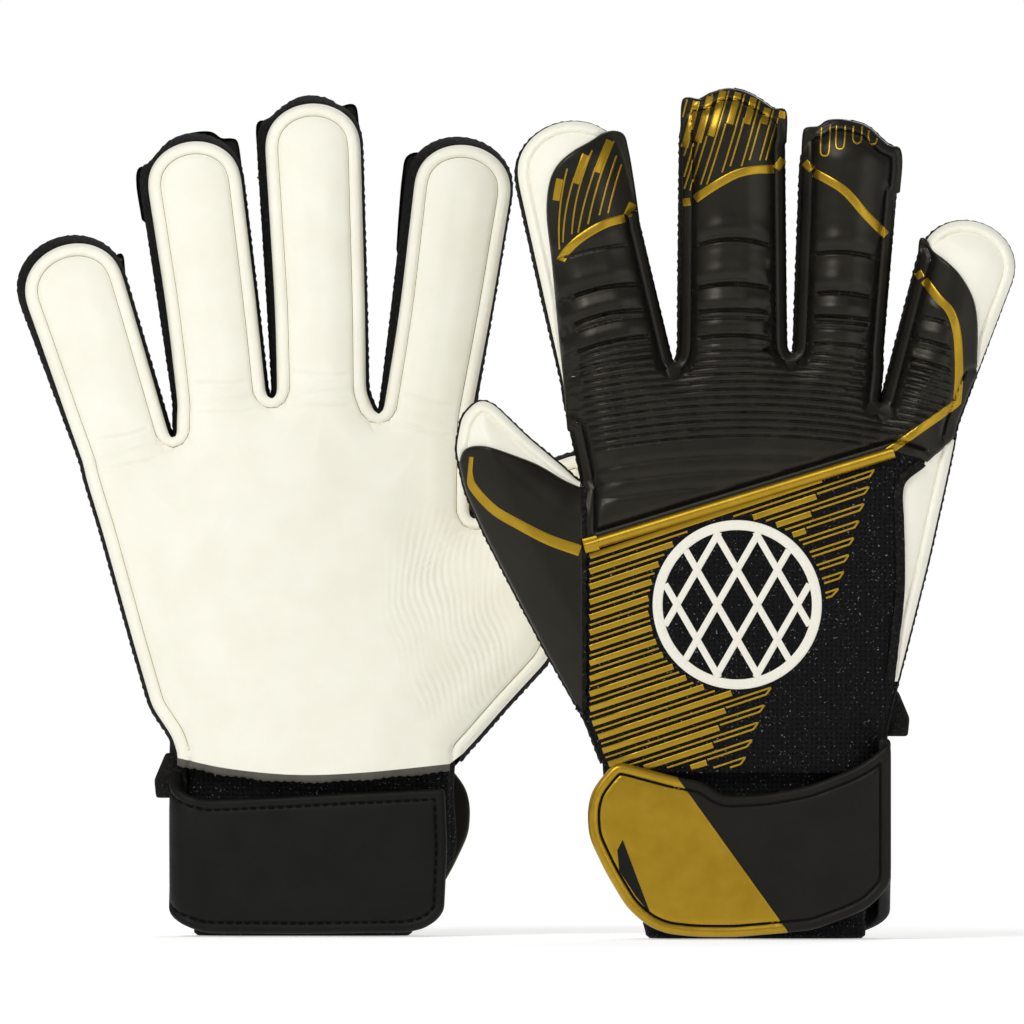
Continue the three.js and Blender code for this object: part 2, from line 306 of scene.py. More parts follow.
def flat_sheet(outline, spacing, rows=EDGE_ROWS, details=None):
    """Points and triangles that fill an outline: rows that follow its edge, then an even lattice.

    `details` are more points, on the lines of a fine relief.
    """
    loop = outline.points
    inward = right_of(loop, closed=True)
    points = [loop]
    for row in rows:
        moved = loop + inward * row
        points.append(moved[outline.depth(moved) > row - 0.06])
    margin = (rows[-1] if rows else 0) + spacing * 0.7
    points.append(lattice(outline, margin, spacing))
    if details is not None:
        points.append(details[outline.depth(details) > margin])
    found, _, faces, *_ = delaunay_2d_cdt(
        [Vector(p) for p in np.vstack(points)], [], [list(range(len(loop)))], 1, 1e-4
    )
    return np.array([tuple(v) for v in found]), np.array([f for f in faces if len(f) == 3])


# ---------------------------------------------------------------- the frame that the CAD gives


class Digit:
    """One digit's own frame: `along` from its base to its tip, `across` towards the little finger."""

    def __init__(self, glove, name):
        joint = next(j for j in frame["joints"] if j["name"] == f"{glove.name}_{name}_bend")
        self.name = name
        self.body = f"{glove.name}_{name}"
        self.pivot = glove.drawn(np.array([joint["pos_m"]]) / MM)[0]
        self.across = -glove.drawn_direction(joint["axis"])[:2]
        self.along = np.array([-self.across[1], self.across[0]])
        self.base = self.pivot[:2].copy()
        self.loop = glove.plate_outline(f"{glove.name}_{name}_back")
        if name == "thumb":
            self.base[1] = self.loop[np.abs(self.loop[:, 0] - self.base[0]) < 1][:, 1].max()
            self.scale = np.ones(2)
        else:
            u, v = self.find(self.loop).T
            self.scale = np.array([u.max() / FEATURE_LENGTH[name], v.max() / FEATURE_WIDTH[name]])

    def place(self, uv):
        uv = np.asarray(uv, float) * self.scale
        return self.base + uv[:, :1] * self.along + uv[:, 1:] * self.across

    def find(self, xy):
        offset = np.asarray(xy, float) - self.base
        return np.column_stack([offset @ self.along, offset @ self.across])

    def holds(self, xy):
        """Which points lie past the line where this digit's layers are cut from the hand's."""
        u, v = self.find(xy).T
        if self.name == "thumb":
            return (u > BEND_START) & (v < 1.25 * u + 3)
        off = self.widths_off(xy)
        nearest = np.all([off <= other.widths_off(xy) + 1e-9 for other in self.neighbours], axis=0)
        return (u > BEND_START) & (np.abs(v) < 22) & nearest

    def widths_off(self, xy):
        """How far to the side of this finger's middle, as a share of half its width there."""
        v = self.find(xy)[:, 1]
        return np.abs(v) / np.abs(self.find(self.loop)[:, 1]).max()


class Glove:
    """A glove's drawing, and where it stands in the frame."""

    def __init__(self, name):
        self.name = name
        palm_low, palm_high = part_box(f"{name}_palm_latex")
        back_low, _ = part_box(f"{name}_mesh_back_panel")
        cuff_low, cuff_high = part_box(f"{name}_cuff_sleeve")
        self.side = 1 if back_low.y < palm_low.y else -1
        palm_y = palm_high.y if self.side > 0 else palm_low.y
        self.origin = np.array([(cuff_low.x + cuff_high.x) / 2, palm_y]) / MM
        self.digits = {digit: Digit(self, digit) for digit in DIGITS}
        for digit in self.digits.values():
            digit.neighbours = [self.digits[name] for name in FINGERS if name != digit.name]
        self.outline = Outline(self.whole_outline())
        self.knuckle = self.digits["middle"].base
        self.seam = self.thumb_seam()
        self.piping_line = self.line_of_piping()

    def thumb_seam(self):
        """The two ends of the line that the thumb bends on."""
        hand = self.plate_outline(f"{self.name}_palm_latex")
        thumb = self.digits["thumb"]
        on_seam = hand[np.abs(hand[:, 0] - thumb.base[0]) < 0.6]
        return np.array([[thumb.base[0], on_seam[:, 1].min()], [thumb.base[0], thumb.base[1]]])

    def line_of_piping(self):
        """The two ends of the middle line of the bead between the back's two panels."""
        low, high = self.box("seam_piping")
        left, right = low[0] + 0.6, high[0] - 0.6
        return np.array([[left - 2, low[1] + 2], [right - 2, high[1] - 2]])

    def box(self, piece):
        """The low and the high corner of one of its CAD pieces, as drawn."""
        corners = self.drawn(np.array([list(p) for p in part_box(f"{self.name}_{piece}")]) / MM)
        return corners.min(0), corners.max(0)

    def shifted(self, points):
        """Points drawn from the middle finger's base."""
        return self.knuckle + np.asarray(points, float)

    def placed(self, points):
        """Drawn points in the shared frame, in metres."""
        x, y, z = np.asarray(points, float).T
        return np.column_stack([self.origin[0] + self.side * x, self.origin[1] - self.side * z, y]) * MM

    def drawn(self, points):
        """The drawing's points for points of the shared frame, which are given in millimetres."""
        x, y, z = np.asarray(points, float).T
        return np.column_stack([self.side * (x - self.origin[0]), z, self.side * (self.origin[1] - y)])

    def drawn_direction(self, vector):
        x, y, z = vector
        return np.array([self.side * x, z, -self.side * y])

    def plate_outline(self, node):
        """The clockwise outline of a flat CAD piece."""
        mesh = frame["nodes"][node].data
        points = np.array([v.co for v in mesh.vertices]) / MM
        points = np.round(self.drawn(points), 2)
        top = points[:, 2] > points[:, 2].max() - 0.05
        corners = [tuple(p) for p in points[:, :2]]
        edges = set()
        for polygon in mesh.polygons:
            ids = list(polygon.vertices)
            if top[ids].all():
                edges |= {(corners[a], corners[b]) for a, b in zip(ids, ids[1:] + ids[:1])}
        follows = {a: b for a, b in edges if (b, a) not in edges}
        start = min(follows, key=lambda p: (p[1], p[0]))
        loop = [start]
        while follows[loop[-1]] != start:
            loop.append(follows[loop[-1]])
        loop = np.array(loop)
        x, y = loop.T
        clockwise = (x * np.roll(y, -1) - y * np.roll(x, -1)).sum() < 0
        return loop if clockwise else loop[::-1]

    def whole_outline(self):
        """The hand's outline with each digit's let in at its base, and the corners rounded."""
        loop = self.plate_outline(f"{self.name}_palm_latex")
        start = int(np.argmin(loop[:, 0] + 10 * loop[:, 1]))
        loop = np.roll(loop, -start, axis=0)
        for digit in self.digits.values():
            u = digit.find(digit.loop)[:, 0]
            low = u < 0.7
            first = next(i for i in range(len(low)) if low[i] and not low[(i + 1) % len(low)])
            path = np.roll(digit.loop, -first, axis=0)
            after = np.roll(loop, -1, axis=0)
            miss = np.linalg.norm(loop - path[0], axis=1) + np.linalg.norm(after - path[-1], axis=1)
            at = int(np.argmin(miss)) + 1
            loop = np.vstack([loop[:at], path, loop[at:]])
        return rounded(loop, 1.9)


# ---------------------------------------------------------------- making objects


def vertex_normals(points, faces):
    a, b, c = (points[faces[:, k]] for k in range(3))
    face_normals = np.cross(b - a, c - a)
    normals = np.zeros_like(points)
    for k in range(3):
        np.add.at(normals, faces[:, k], face_normals)
    return unit(normals)


def mesh_object(name, points, faces, normals, material):
    mesh = bpy.data.meshes.new(name)
    mesh.from_pydata(points.tolist(), [], faces.tolist())
    mesh.shade_smooth()
    mesh.normals_split_custom_set_from_vertices(normals.tolist())
    mesh.materials.append(material)
    obj = bpy.data.objects.new(name, mesh)
    bpy.context.scene.collection.objects.link(obj)
    return obj


def add(glove, layer, points, faces, material, slot, replaced=None, padded=None, body="hand", bends=True):
    """Makes one layer of a glove. Where it bends, each digit gets its own part of it.

    `replaced` names the CAD piece that the hand's part and the digits' parts stand for.
    """
    faces = np.asarray(faces)
    world = glove.placed(points)
    normals = vertex_normals(world, faces)
    owner = np.zeros(len(faces), int)
    if bends:
        centres = points[faces].mean(1)[:, :2]
        for k, digit in enumerate(glove.digits.values(), 1):
            owner[(owner == 0) & digit.holds(centres)] = k
    for k in np.unique(owner):
        part = faces[owner == k]
        used, numbered = np.unique(part, return_inverse=True)
        part_name = DIGITS[k - 1] if k else "hand" if bends else ""
        name = "_".join(n for n in (glove.name, part_name, layer) if n)
        obj = mesh_object(name, world[used], numbered.reshape(-1, 3), normals[used], material)
        if k:
            digit = glove.digits[DIGITS[k - 1]]
            pivot = digit.pivot
            ends = [np.r_[pivot[:2] + digit.along * u, pivot[2]] for u in (BEND_START, BEND_END)]
            start, end = glove.placed(np.array(ends))
            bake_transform(obj)
        else:
            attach(obj, f"{glove.name}_{body}")
        nodes = (replaced or {}).get("digit" if k else "hand", ())
        if nodes:
            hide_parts(*(f"{digit.body}_{n}" if k else f"{glove.name}_{n}" for n in nodes))


def joined(parts):
    """Several (points, faces) as one."""
    points, faces, count = [], [], 0
    for p, f in parts:
        points.append(p)
        faces.append(np.asarray(f) + count)
        count += len(p)
    return np.vstack(points), np.vstack(faces)


def grid_faces(rows, columns, closed_columns=False, closed_rows=False):
    """Triangles of a grid of points, for `rows` rows of `columns` points."""
    i = np.arange(rows if closed_rows else rows - 1)
    j = np.arange(columns if closed_columns else columns - 1)
    i, j = (k.ravel() for k in np.meshgrid(i, j, indexing="ij"))
    after, right = (i + 1) % rows, (j + 1) % columns
    a, b = i * columns + j, i * columns + right
    c, d = after * columns + right, after * columns + j
    return np.vstack([np.column_stack([a, b, c]), np.column_stack([a, c, d])])


def ribbon(path, width, height, lift, closed=False):
    """A flat band with rounded edges laid along a path on a surface; `height` gives the surface."""
    across = (-0.5, -0.44, -0.25, 0, 0.25, 0.44, 0.5)
    rise = (-0.35, 0.75, 0.95, 1, 0.95, 0.75, -0.35)
    right = right_of(path, closed)
    widths = width(np.linspace(0, 1, len(path))) if callable(width) else np.full(len(path), width)
    columns = []
    for a, r in zip(across, rise):
        xy = path + right * (a * widths)[:, None]
        columns.append(np.column_stack([xy, height(xy) + lift * r]))
    points = np.stack(columns, axis=1).reshape(-1, 3)
    return points, grid_faces(len(path), len(across), closed_rows=closed)


def cord_on(path, radius, height, sink, sides):
    """A round bead laid along a path on a surface."""
    right = right_of(path)
    angles = np.linspace(0, 2 * np.pi, sides, endpoint=False)
    base = height(path) + radius * (1 - 2 * sink)
    columns = []
    for angle in angles:
        xy = path - right * radius * math.cos(angle)
        columns.append(np.column_stack([xy, base + radius * math.sin(angle)]))
    points = np.stack(columns, axis=1).reshape(-1, 3)
    return points, grid_faces(len(path), sides, closed_columns=True)


def stitches(path, height, closed=False):
    """A row of stitches along a path on a surface."""
    length, radius = STITCH["length"], STITCH["radius"]
    centres = resampled(path, STITCH["pitch"], closed)
    right = right_of(centres, closed)
    along = np.column_stack([-right[:, 1], right[:, 0]])
    ring = [(c * radius, s * radius) for c, s in ((1, 0), (0, 1), (-1, 0), (0, -1))]
    shape = [(-length / 2, 0, -radius * 0.7)]
    shape += [(-length * 0.3, r, z) for r, z in ring] + [(length * 0.3, r, z) for r, z in ring]
    shape += [(length / 2, 0, -radius * 0.7)]
    faces = [[0, 1 + k, 1 + (k + 1) % 4] for k in range(4)]
    faces += [[1 + k, 5 + k, 5 + (k + 1) % 4] for k in range(4)]
    faces += [[1 + k, 5 + (k + 1) % 4, 1 + (k + 1) % 4] for k in range(4)]
    faces += [[5 + k, 9, 5 + (k + 1) % 4] for k in range(4)]
    parts = []
    z = height(centres)
    for t, r, lift in shape:
        xy = centres + along * t + right * r
        parts.append(np.column_stack([xy, z + lift + radius * 0.4]))
    points = np.stack(parts, axis=1).reshape(-1, 3)
    first = (np.arange(len(centres)) * len(shape))[:, None, None]
    return points, (np.array(faces)[None] + first).reshape(-1, 3)


# ---------------------------------------------------------------- heights of the soft surfaces


def step(x, low, high):
    t = np.clip((x - low) / (high - low), 0, 1)
    return t * t * (3 - 2 * t)


def bump(x, centre, width):
    return np.exp(-(((x - centre) / width) ** 2))


def unevenness(xy, seed=0.0):
    """Slow waves, up to 1 high, that keep a soft surface from looking machined."""
    x, y = xy.T
    total = 0
    waves = ((0.051, 0.033), (-0.032, 0.061), (0.093, -0.047), (0.071, 0.112), (-0.13, 0.05))
    for k, (fx, fy) in enumerate(waves):
        total = total + np.sin(fx * x + fy * y + 1.7 * k + seed) / (1 + 0.5 * k)
    return total / 2.6


class Surfaces:
    """The heights of one glove's palm and back at any point of its drawing."""

    def __init__(self, glove):
        self.glove = glove
        loop = glove.outline.points
        # below the wrist line the hand goes on into the cuff, so the surfaces don't round off there
        self.wrist = loop[:, 1].min()
        self.dome = Outline(self.extended(loop))
        inward = right_of(loop, closed=True)
        fingers = step(loop[:, 1], self.wrist + 95, self.wrist + 165)[:, None]
        moved = loop + inward * (0.7 + 0.6 * fingers) + np.array([-1.5, -1.4]) * fingers
        self.palm_loop = moved
        self.palm_dome = Outline(self.extended(Outline(smoothed(moved, 1.0)).points))

    def extended(self, loop):
        kept = loop[loop[:, 1] > self.wrist + 6]
        start = int(np.argmax(np.linalg.norm(np.diff(np.vstack([kept, kept[:1]]), axis=0), axis=1)))
        kept = np.roll(kept, -(start + 1), axis=0)
        drop = np.array([0, -45])
        return np.vstack([kept, kept[-1:] + drop, kept[:1] + drop])

    def back(self, xy):
        """The shape that every layer of the back follows."""
        d = np.maximum(self.dome.depth(xy), 0)
        full = np.sin(np.pi / 2 * np.minimum(d / DOME_REACH, 1))
        return BACK_EDGE_Z + DOME_HEIGHT * full + 0.25 * unevenness(xy) * step(d, 4, 12)

    def roll(self, xy, covered):
        """White latex folded over on to the back: a rounded rim, a crease, then the panel."""
        d = np.maximum(self.dome.depth(xy), 0)
        open_to_view = 1 - step(covered.depth(xy), -1.4, 0.2)
        rim = 1.5 * np.sqrt(np.clip(1 - (1 - np.minimum(d / 1.6, 1)) ** 2, 0, 1))
        rim = rim * (1 - step(d, ROLL_RIM - 0.8, ROLL_RIM + 0.6))
        return self.back(xy) + (rim - 0.55 * bump(d, ROLL_CREASE, 0.4)) * open_to_view

    def palm(self, xy):
        d = np.maximum(self.palm_dome.depth(xy), 0)
        rim = 3.5 * np.sqrt(np.clip(1 - (1 - np.minimum(d / 2.2, 1)) ** 2, 0, 1))
        inner = np.clip((d - PALM_RIM) / 9.5, 0, 1)
        rise = rim + 2.8 * np.sin(np.pi / 2 * inner) + 1.5 * step(d, 15, 32)
        rise -= 1.2 * bump(d, PALM_CREASE, 0.45)
        rise += 0.22 * unevenness(xy, 2.0) * step(d, 5, 12)
        return PALM_EDGE_Z - rise + self.creases(xy, d)

    def creases(self, xy, d):
        """Fine wrinkles: across the finger bases, and fanned over the ball of the thumb."""
        total = np.zeros(len(xy))
        for digit in self.glove.digits.values():
            if digit.name == "thumb":
                continue
            u, v = digit.find(xy).T
            for k, at in enumerate((-3.2, 0.2, 3.6, 7.2)):
                line = u - at - 0.9 * np.sin(0.21 * v + 1.9 * k) + 0.0016 * v**2 * (k - 1)
                fold = 0.8 * bump(line, 0, 0.6) * (1 - step(np.abs(v), 7, 13))
                total += fold * (0.6 + 0.4 * math.sin(2.3 * k + 1))
        thumb = self.glove.digits["thumb"].base
        x, y = (xy - thumb).T
        fan = x + 0.0052 * (y + 20) ** 2
        fade = step(fan, -16, -6) * (1 - step(fan, 18, 34)) * step(y, -76, -50) * (1 - step(y, -14, 10))
        wobble = 1.2 * np.sin(0.11 * y + 0.4) + 0.7 * np.sin(0.23 * y + 0.21 * x)
        folds = np.maximum(np.sin((fan + wobble) * 2 * np.pi / 2.3), 0) ** 2
        total += 0.95 * folds * fade * (0.55 + 0.45 * unevenness(xy * 3, 1.0))
        return total * step(d, 4.5, 7)

    def foam(self, xy, sheet):
        """The black foam: a flat edge outside its stitches, and pressed grooves inside them."""
        glove = self.glove
        edge = sheet.outline.distance(xy)
        sewn = sheet.from_seam(xy)
        rounding = np.sqrt(np.clip(1 - (1 - np.minimum(edge / 0.9, 1)) ** 2, 0, 1))
        z = self.back(xy) - 0.6 + (0.6 + FOAM_THICKNESS) * rounding
        z -= 1.1 * bump(sewn, FOAM_SEAM, 0.45)
        z += 1.0 * step(sewn, FOAM_SEAM, FLANGE + 2.4)
        if sheet.sewn_edge is None:
            return z
        relief = np.zeros(len(xy))
        for name in FINGERS:
            digit = glove.digits[name]
            u, v = (digit.find(xy) / digit.scale).T
            near = (u > 1) & (np.abs(v) < 24)
            for at, arch, depth in GROOVES[name]:
                line = u - at + arch * (v / 13) ** 2
                groove = 0.45 * bump(line, 1.1, 0.6) - 1.4 * bump(line, 0, 0.42)
                groove += 0.85 * bump(line, 4.2, 3.0) - 0.7 * bump(line, -1.2, 2.6)
                relief += np.where(near, depth * groove, 0)
        x, y = (xy - glove.knuckle).T
        rib = y + RIBS["sag"] * (x - RIBS["centre"]) ** 2
        wave = np.sin(np.pi * rib / RIB_PITCH) ** 10
        band = step(rib, RIBS["low"] - 0.5, RIBS["low"] + 0.5)
        band = band * (1 - step(rib, RIBS["high"] - 0.5, RIBS["high"] + 0.5))
        relief -= 0.95 * wave * band
        for at in (-33.2, -38.4, -43.6):
            relief -= 0.5 * bump(rib, at, 0.8)
        # the grooves and ribs stop at the little finger's stripe, and the foam is smooth outside it
        pinky = glove.digits["pinky"].place([*STRIPES["pinky"], *STRIPE_ON_HAND])
        stripe = curve([*pinky, *glove.shifted([STRIPE_END])])[::-1]
        beyond = xy[:, 0] - np.interp(xy[:, 1], stripe[:, 1], stripe[:, 0])
        relief *= 1 - step(beyond, -3.6, -1.6)
        return z + relief * step(sewn, FLANGE + 0.2, FLANGE + 1.2) * step(edge, 0.3, 1.6)

    def relief_lines(self):
        """Points along the pressed grooves, so that the foam's mesh keeps them sharp."""
        points = []
        v = np.arange(-16, 16.5, 0.9)
        for name in FINGERS:
            digit = self.glove.digits[name]
            for at, arch, _ in GROOVES[name]:
                for off in (-1.2, -0.7, -0.35, 0, 0.35, 0.7, 1.2, 1.9):
                    points.append(digit.place(np.column_stack([at - arch * (v / 13) ** 2 + off, v])))
        x = np.arange(-62, 78, 0.9)
        first, last = (math.floor(RIBS[end] / RIB_PITCH) for end in ("low", "high"))
        for k in range(first, last + 2):
            for off in (-0.55, -0.25, 0, 0.25, 0.55, 1.28):
                y = (k + 0.5) * RIB_PITCH + off - RIBS["sag"] * (x - RIBS["centre"]) ** 2
                points.append(self.glove.shifted(np.column_stack([x, y])))
        return np.vstack(points)

    def mesh(self, xy, own_edge):
        edge = own_edge.distance(xy)
        return self.back(xy) + 0.5 * step(edge, 0, 2) + 0.12 * unevenness(xy * 4, 3.0)


# ---------------------------------------------------------------- materials


class Nodes:
    """A small helper to write a material's nodes in reading order."""

    def __init__(self, name):
        self.material = bpy.data.materials.new(name)
        self.material.use_nodes = True
        self.tree = self.material.node_tree
        self.shader = self.tree.nodes["Principled BSDF"]
        self.place = self.add("ShaderNodeTexCoord").outputs["Object"]

    def add(self, kind, **inputs):
        node = self.tree.nodes.new(kind)
        for key, value in inputs.items():
            name = key.replace("_", " ")
            if name in node.inputs:
                self.put(node.inputs[name], value)
            else:
                setattr(node, key, value)
        return node

    def put(self, socket, value):
        if isinstance(value, bpy.types.NodeSocket):
            self.tree.links.new(value, socket)
        else:
            socket.default_value = value

    def surface(self, **inputs):
        for key, value in inputs.items():
            self.put(self.shader.inputs[key.replace("_", " ")], value)

    def noise(self, scale, detail=3.0, roughness=0.55):
        node = self.add("ShaderNodeTexNoise", Scale=scale, Detail=detail, Roughness=roughness)
        self.put(node.inputs["Vector"], self.place)
        return node.outputs["Fac"]

    def ramp(self, value, stops):
        node = self.add("ShaderNodeValToRGB", Fac=value)
        elements = node.color_ramp.elements
        while len(elements) < len(stops):
            elements.new(0.5)
        for element, (at, color) in zip(elements, stops):
            element.position = at
            element.color = (*color, 1)
        return node.outputs["Color"]

    def mix(self, factor, a, b):
        node = self.add("ShaderNodeMix", data_type="RGBA")
        self.put(node.inputs["Factor"], factor)
        self.put(node.inputs[6], (*a, 1))
        self.put(node.inputs[7], b if isinstance(b, bpy.types.NodeSocket) else (*b, 1))
        return node.outputs[2]

    def relief(self, height, distance_mm, strength=1.0, normal=None):
        node = self.add("ShaderNodeBump", Strength=strength, Distance=distance_mm * MM, Height=height)
        if normal:
            self.put(node.inputs["Normal"], normal)
        return node.outputs["Normal"]


def gray(value):
    return (value, value, value)


def latex_material():
    n = Nodes("latex")
    mottle = n.noise(55, 4)
    color = n.ramp(mottle, [(0.3, (0.86, 0.835, 0.715)), (0.7, (0.905, 0.885, 0.775))])
    pores = n.noise(3200, 2)
    skin = n.noise(420, 3)
    normal = n.relief(skin, 0.10, 0.35, n.relief(pores, 0.05, 0.5))
    n.surface(Base_Color=color, Roughness=0.62, Normal=normal, Specular_IOR_Level=0.25)
    n.surface(Subsurface_Weight=0.12, Subsurface_Scale=0.002, Subsurface_Radius=(1.0, 0.8, 0.5))
    return n.material


def foam_material():
    n = Nodes("back_foam")
    mottle = n.noise(70, 4)
    color = n.ramp(mottle, [(0.35, (0.0060, 0.0053, 0.0036)), (0.65, (0.0095, 0.0085, 0.0060))])
    grain = n.noise(1900, 3)
    roughness = n.ramp(n.noise(260, 3), [(0.3, gray(0.33)), (0.7, gray(0.43))])
    n.surface(Base_Color=color, Roughness=roughness, Normal=n.relief(grain, 0.06, 0.5))
    n.surface(Specular_IOR_Level=0.27)
    n.surface(Specular_Tint=(1.0, 0.93, 0.80, 1.0))
    return n.material


def gold_material():
    n = Nodes("gold_print")
    blotches = n.noise(160, 4)
    color = n.ramp(blotches, [(0.3, (0.37, 0.225, 0.014)), (0.7, (0.43, 0.268, 0.022))])
    flakes = n.noise(2600, 3)
    roughness = n.ramp(flakes, [(0.3, gray(0.3)), (0.7, gray(0.46))])
    n.surface(Base_Color=color, Metallic=0.8, Roughness=roughness, Normal=n.relief(flakes, 0.05, 0.5))
    n.surface(Specular_IOR_Level=0.25)
    return n.material


def knit_material():
    n = Nodes("gusset_knit")
    fuzz = n.noise(900, 4, 0.7)
    # the palest stop is partly paler fibres, partly a painted highlight on the fuzz
    stops = [(0.35, (0.003, 0.003, 0.003)), (0.6, (0.013, 0.012, 0.011)), (0.8, (0.11, 0.105, 0.09))]
    color = n.ramp(fuzz, stops)
    loops = n.add("ShaderNodeTexVoronoi", Scale=1150, Randomness=0.7, Vector=n.place).outputs["Distance"]
    normal = n.relief(loops, 0.35, 0.8, n.relief(fuzz, 0.3, 0.6))
    n.surface(Base_Color=color, Roughness=0.95, Normal=normal, Specular_IOR_Level=0.12)
    return n.material


def mesh_material():
    """Spacer mesh: small holes in a dark weave, with glints painted on single threads as pale specks."""
    n = Nodes("knit_mesh")
    parts = n.add("ShaderNodeSeparateXYZ", Vector=n.place).outputs
    flat = n.add("ShaderNodeCombineXYZ", X=parts["X"], Y=parts["Z"]).outputs[0]
    cells = n.add("ShaderNodeTexVoronoi", Scale=620, Randomness=0.25, Vector=flat).outputs["Distance"]
    holes = n.ramp(cells, [(0.18, gray(0)), (0.42, gray(1))])
    threads = n.noise(1500, 2, 0.6)
    # pale specks in the base colour: painted glints
    painted_glint = n.ramp(threads, [(0.665, gray(0)), (0.72, gray(1))])
    weave = n.mix(painted_glint, (0.0040, 0.0040, 0.0046), (0.24, 0.245, 0.26))
    color = n.mix(holes, (0.0006, 0.0006, 0.0008), weave)
    normal = n.relief(holes, 0.3, 0.8, n.relief(threads, 0.15, 0.6))
    n.surface(Base_Color=color, Roughness=0.8, Normal=normal, Specular_IOR_Level=0.12)
    return n.material


def strap_material(name, dark, light):
    n = Nodes(name)
    mottle = n.noise(60, 4)
    color = n.ramp(mottle, [(0.35, dark), (0.65, light)])
    grain = n.noise(1500, 4)
    roughness = n.ramp(n.noise(220, 3), [(0.3, gray(0.46)), (0.7, gray(0.6))])
    n.surface(Base_Color=color, Roughness=roughness, Normal=n.relief(grain, 0.07, 0.5))
    n.surface(Specular_IOR_Level=0.16)
    return n.material


def thread_material(name, dark, light):
    n = Nodes(name)
    twist = n.add("ShaderNodeTexWave", Scale=900, Distortion=2.0, Vector=n.place).outputs["Fac"]
    color = n.ramp(twist, [(0.2, dark), (0.8, light)])
    n.surface(Base_Color=color, Roughness=0.7, Normal=n.relief(twist, 0.1, 0.6), Specular_IOR_Level=0.1)
    return n.material


def print_material():
    n = Nodes("white_print")
    speckle = n.noise(1300, 4, 0.65)
    color = n.ramp(speckle, [(0.3, (0.72, 0.70, 0.60)), (0.5, (0.80, 0.78, 0.68))])
    n.surface(Base_Color=color, Roughness=0.55, Normal=n.relief(speckle, 0.08, 0.5))
    return n.material


def hook_material():
    n = Nodes("hook_and_loop")
    loops = n.add("ShaderNodeTexVoronoi", Scale=1300, Randomness=0.9, Vector=n.place).outputs["Distance"]
    fuzz = n.noise(1700, 4, 0.7)
    color = n.ramp(fuzz, [(0.35, gray(0.004)), (0.7, gray(0.03))])
    normal = n.relief(loops, 0.5, 0.9, n.relief(fuzz, 0.3, 0.7))
    n.surface(Base_Color=color, Roughness=0.9, Normal=normal, Sheen_Weight=0.3, Sheen_Roughness=0.5)
    return n.material


def lining_material():
    n = Nodes("lining")
    weave = n.add("ShaderNodeTexVoronoi", Scale=1500, Randomness=0.3, Vector=n.place).outputs["Distance"]
    color = n.ramp(n.noise(90, 3), [(0.3, gray(0.2)), (0.7, gray(0.3))])
    n.surface(Base_Color=color, Roughness=0.95, Normal=n.relief(weave, 0.2, 0.7))
    return n.material


LATEX = latex_material()
FOAM = foam_material()
GOLD = gold_material()
KNIT = knit_material()
MESH = mesh_material()
STRAP = strap_material("strap_fabric", (0.0062, 0.0055, 0.0038), (0.0085, 0.0077, 0.0055))
BAND = strap_material("strap_fabric_black", (0.0040, 0.0040, 0.0035), (0.0062, 0.0062, 0.0055))
# colour of the thin crease lines: painted shade in the folds of the latex
CREASE_SHADE_PAINT = thread_material("latex_crease", (0.19, 0.165, 0.10), (0.30, 0.27, 0.18))
RAW_EDGE = thread_material("raw_edge", (0.02, 0.019, 0.016), (0.20, 0.19, 0.16))
# dark thread for the stitches, used also for the ribbons of painted shade in the stitched grooves
DARK_THREAD_AND_GROOVE_SHADE = thread_material("dark_thread", gray(0.001), gray(0.006))
PRINT = print_material()
HOOK = hook_material()
LINING = lining_material()


# ---------------------------------------------------------------- the layers of a glove


def flipped(faces):
    return np.asarray(faces)[:, ::-1]


def moved_right(path, distance):
    return path + right_of(path) * distance


class Borders:
    """Where each layer of a glove's back begins and ends."""

    def __init__(self, glove):
        loop = glove.outline.points
        digits = glove.digits
        outer = glove.shifted(OUTER_BORDER)
        self.latex = {name: curve(digits[name].place(LATEX_BORDERS[name]), 1.0) for name in LATEX_BORDERS}
        self.latex["outer"] = curve(outer, 1.0)
        tips = {name: curve(digits[name].place(TIPS[name]), 1.0) for name in TIPS}
        self.covered = loop
        for path in (*self.latex.values(), *tips.values()):
            before = stretch(self.covered, self.covered[0], path[0])
            after = stretch(self.covered, path[-1], self.covered[-1])
            self.covered = np.vstack([before[:-1], path, after[1:]])
        self.covered_outline = Outline(self.covered)
        self.wall_loop = loop + right_of(loop, closed=True) * self.over_tips(glove, tips)[:, None]
        self.rolls = []
        for path in self.latex.values():
            hidden = moved_right(path, 4.5)
            hidden = hidden[glove.outline.depth(hidden) > 0.8]
            self.rolls.append(Outline(np.vstack([stretch(loop, path[0], path[-1]), hidden[::-1]])))
        low, high = glove.seam
        self.piping = glove.piping_line
        start, end = self.piping
        outer_end = end + unit(end - start) * 7
        seam = resampled([low, high], 1.0)
        seam_above = seam[seam[:, 1] > start[1] + 0.5]
        seam_below = seam[seam[:, 1] < start[1] - 0.5]
        top = stretch(self.covered, high, outer_end)
        side = stretch(self.covered, outer_end, low)
        thumb = stretch(self.covered, low, high)
        up = np.array([-(end - start)[1], (end - start)[0]]) / np.linalg.norm(end - start)
        ribbed_loop = np.vstack([top, [end, start], seam_above])
        self.ribbed = FoamSheet(ribbed_loop, np.vstack(list(self.latex.values())))
        self.mesh = Outline(np.vstack([side, seam_below, [start + up * 0.8, outer_end + up * 0.8]]))
        thumb_loop = np.vstack([thumb, seam[::-1]])
        self.thumb = FoamSheet(thumb_loop, resampled(thumb_loop, 0.5, closed=True))

    def over_tips(self, glove, tips):
        """How far the outline stands out past the foam at the middle and ring fingers' ends."""
        loop = glove.outline.points
        beyond = np.zeros(len(loop))
        for name in tips:
            u, v = glove.digits[name].find(loop).T
            at_tip = (u > 60) & (np.abs(v) < 20)
            beyond = np.where(at_tip, np.maximum(0, -self.covered_outline.depth(loop)), beyond)
        return beyond


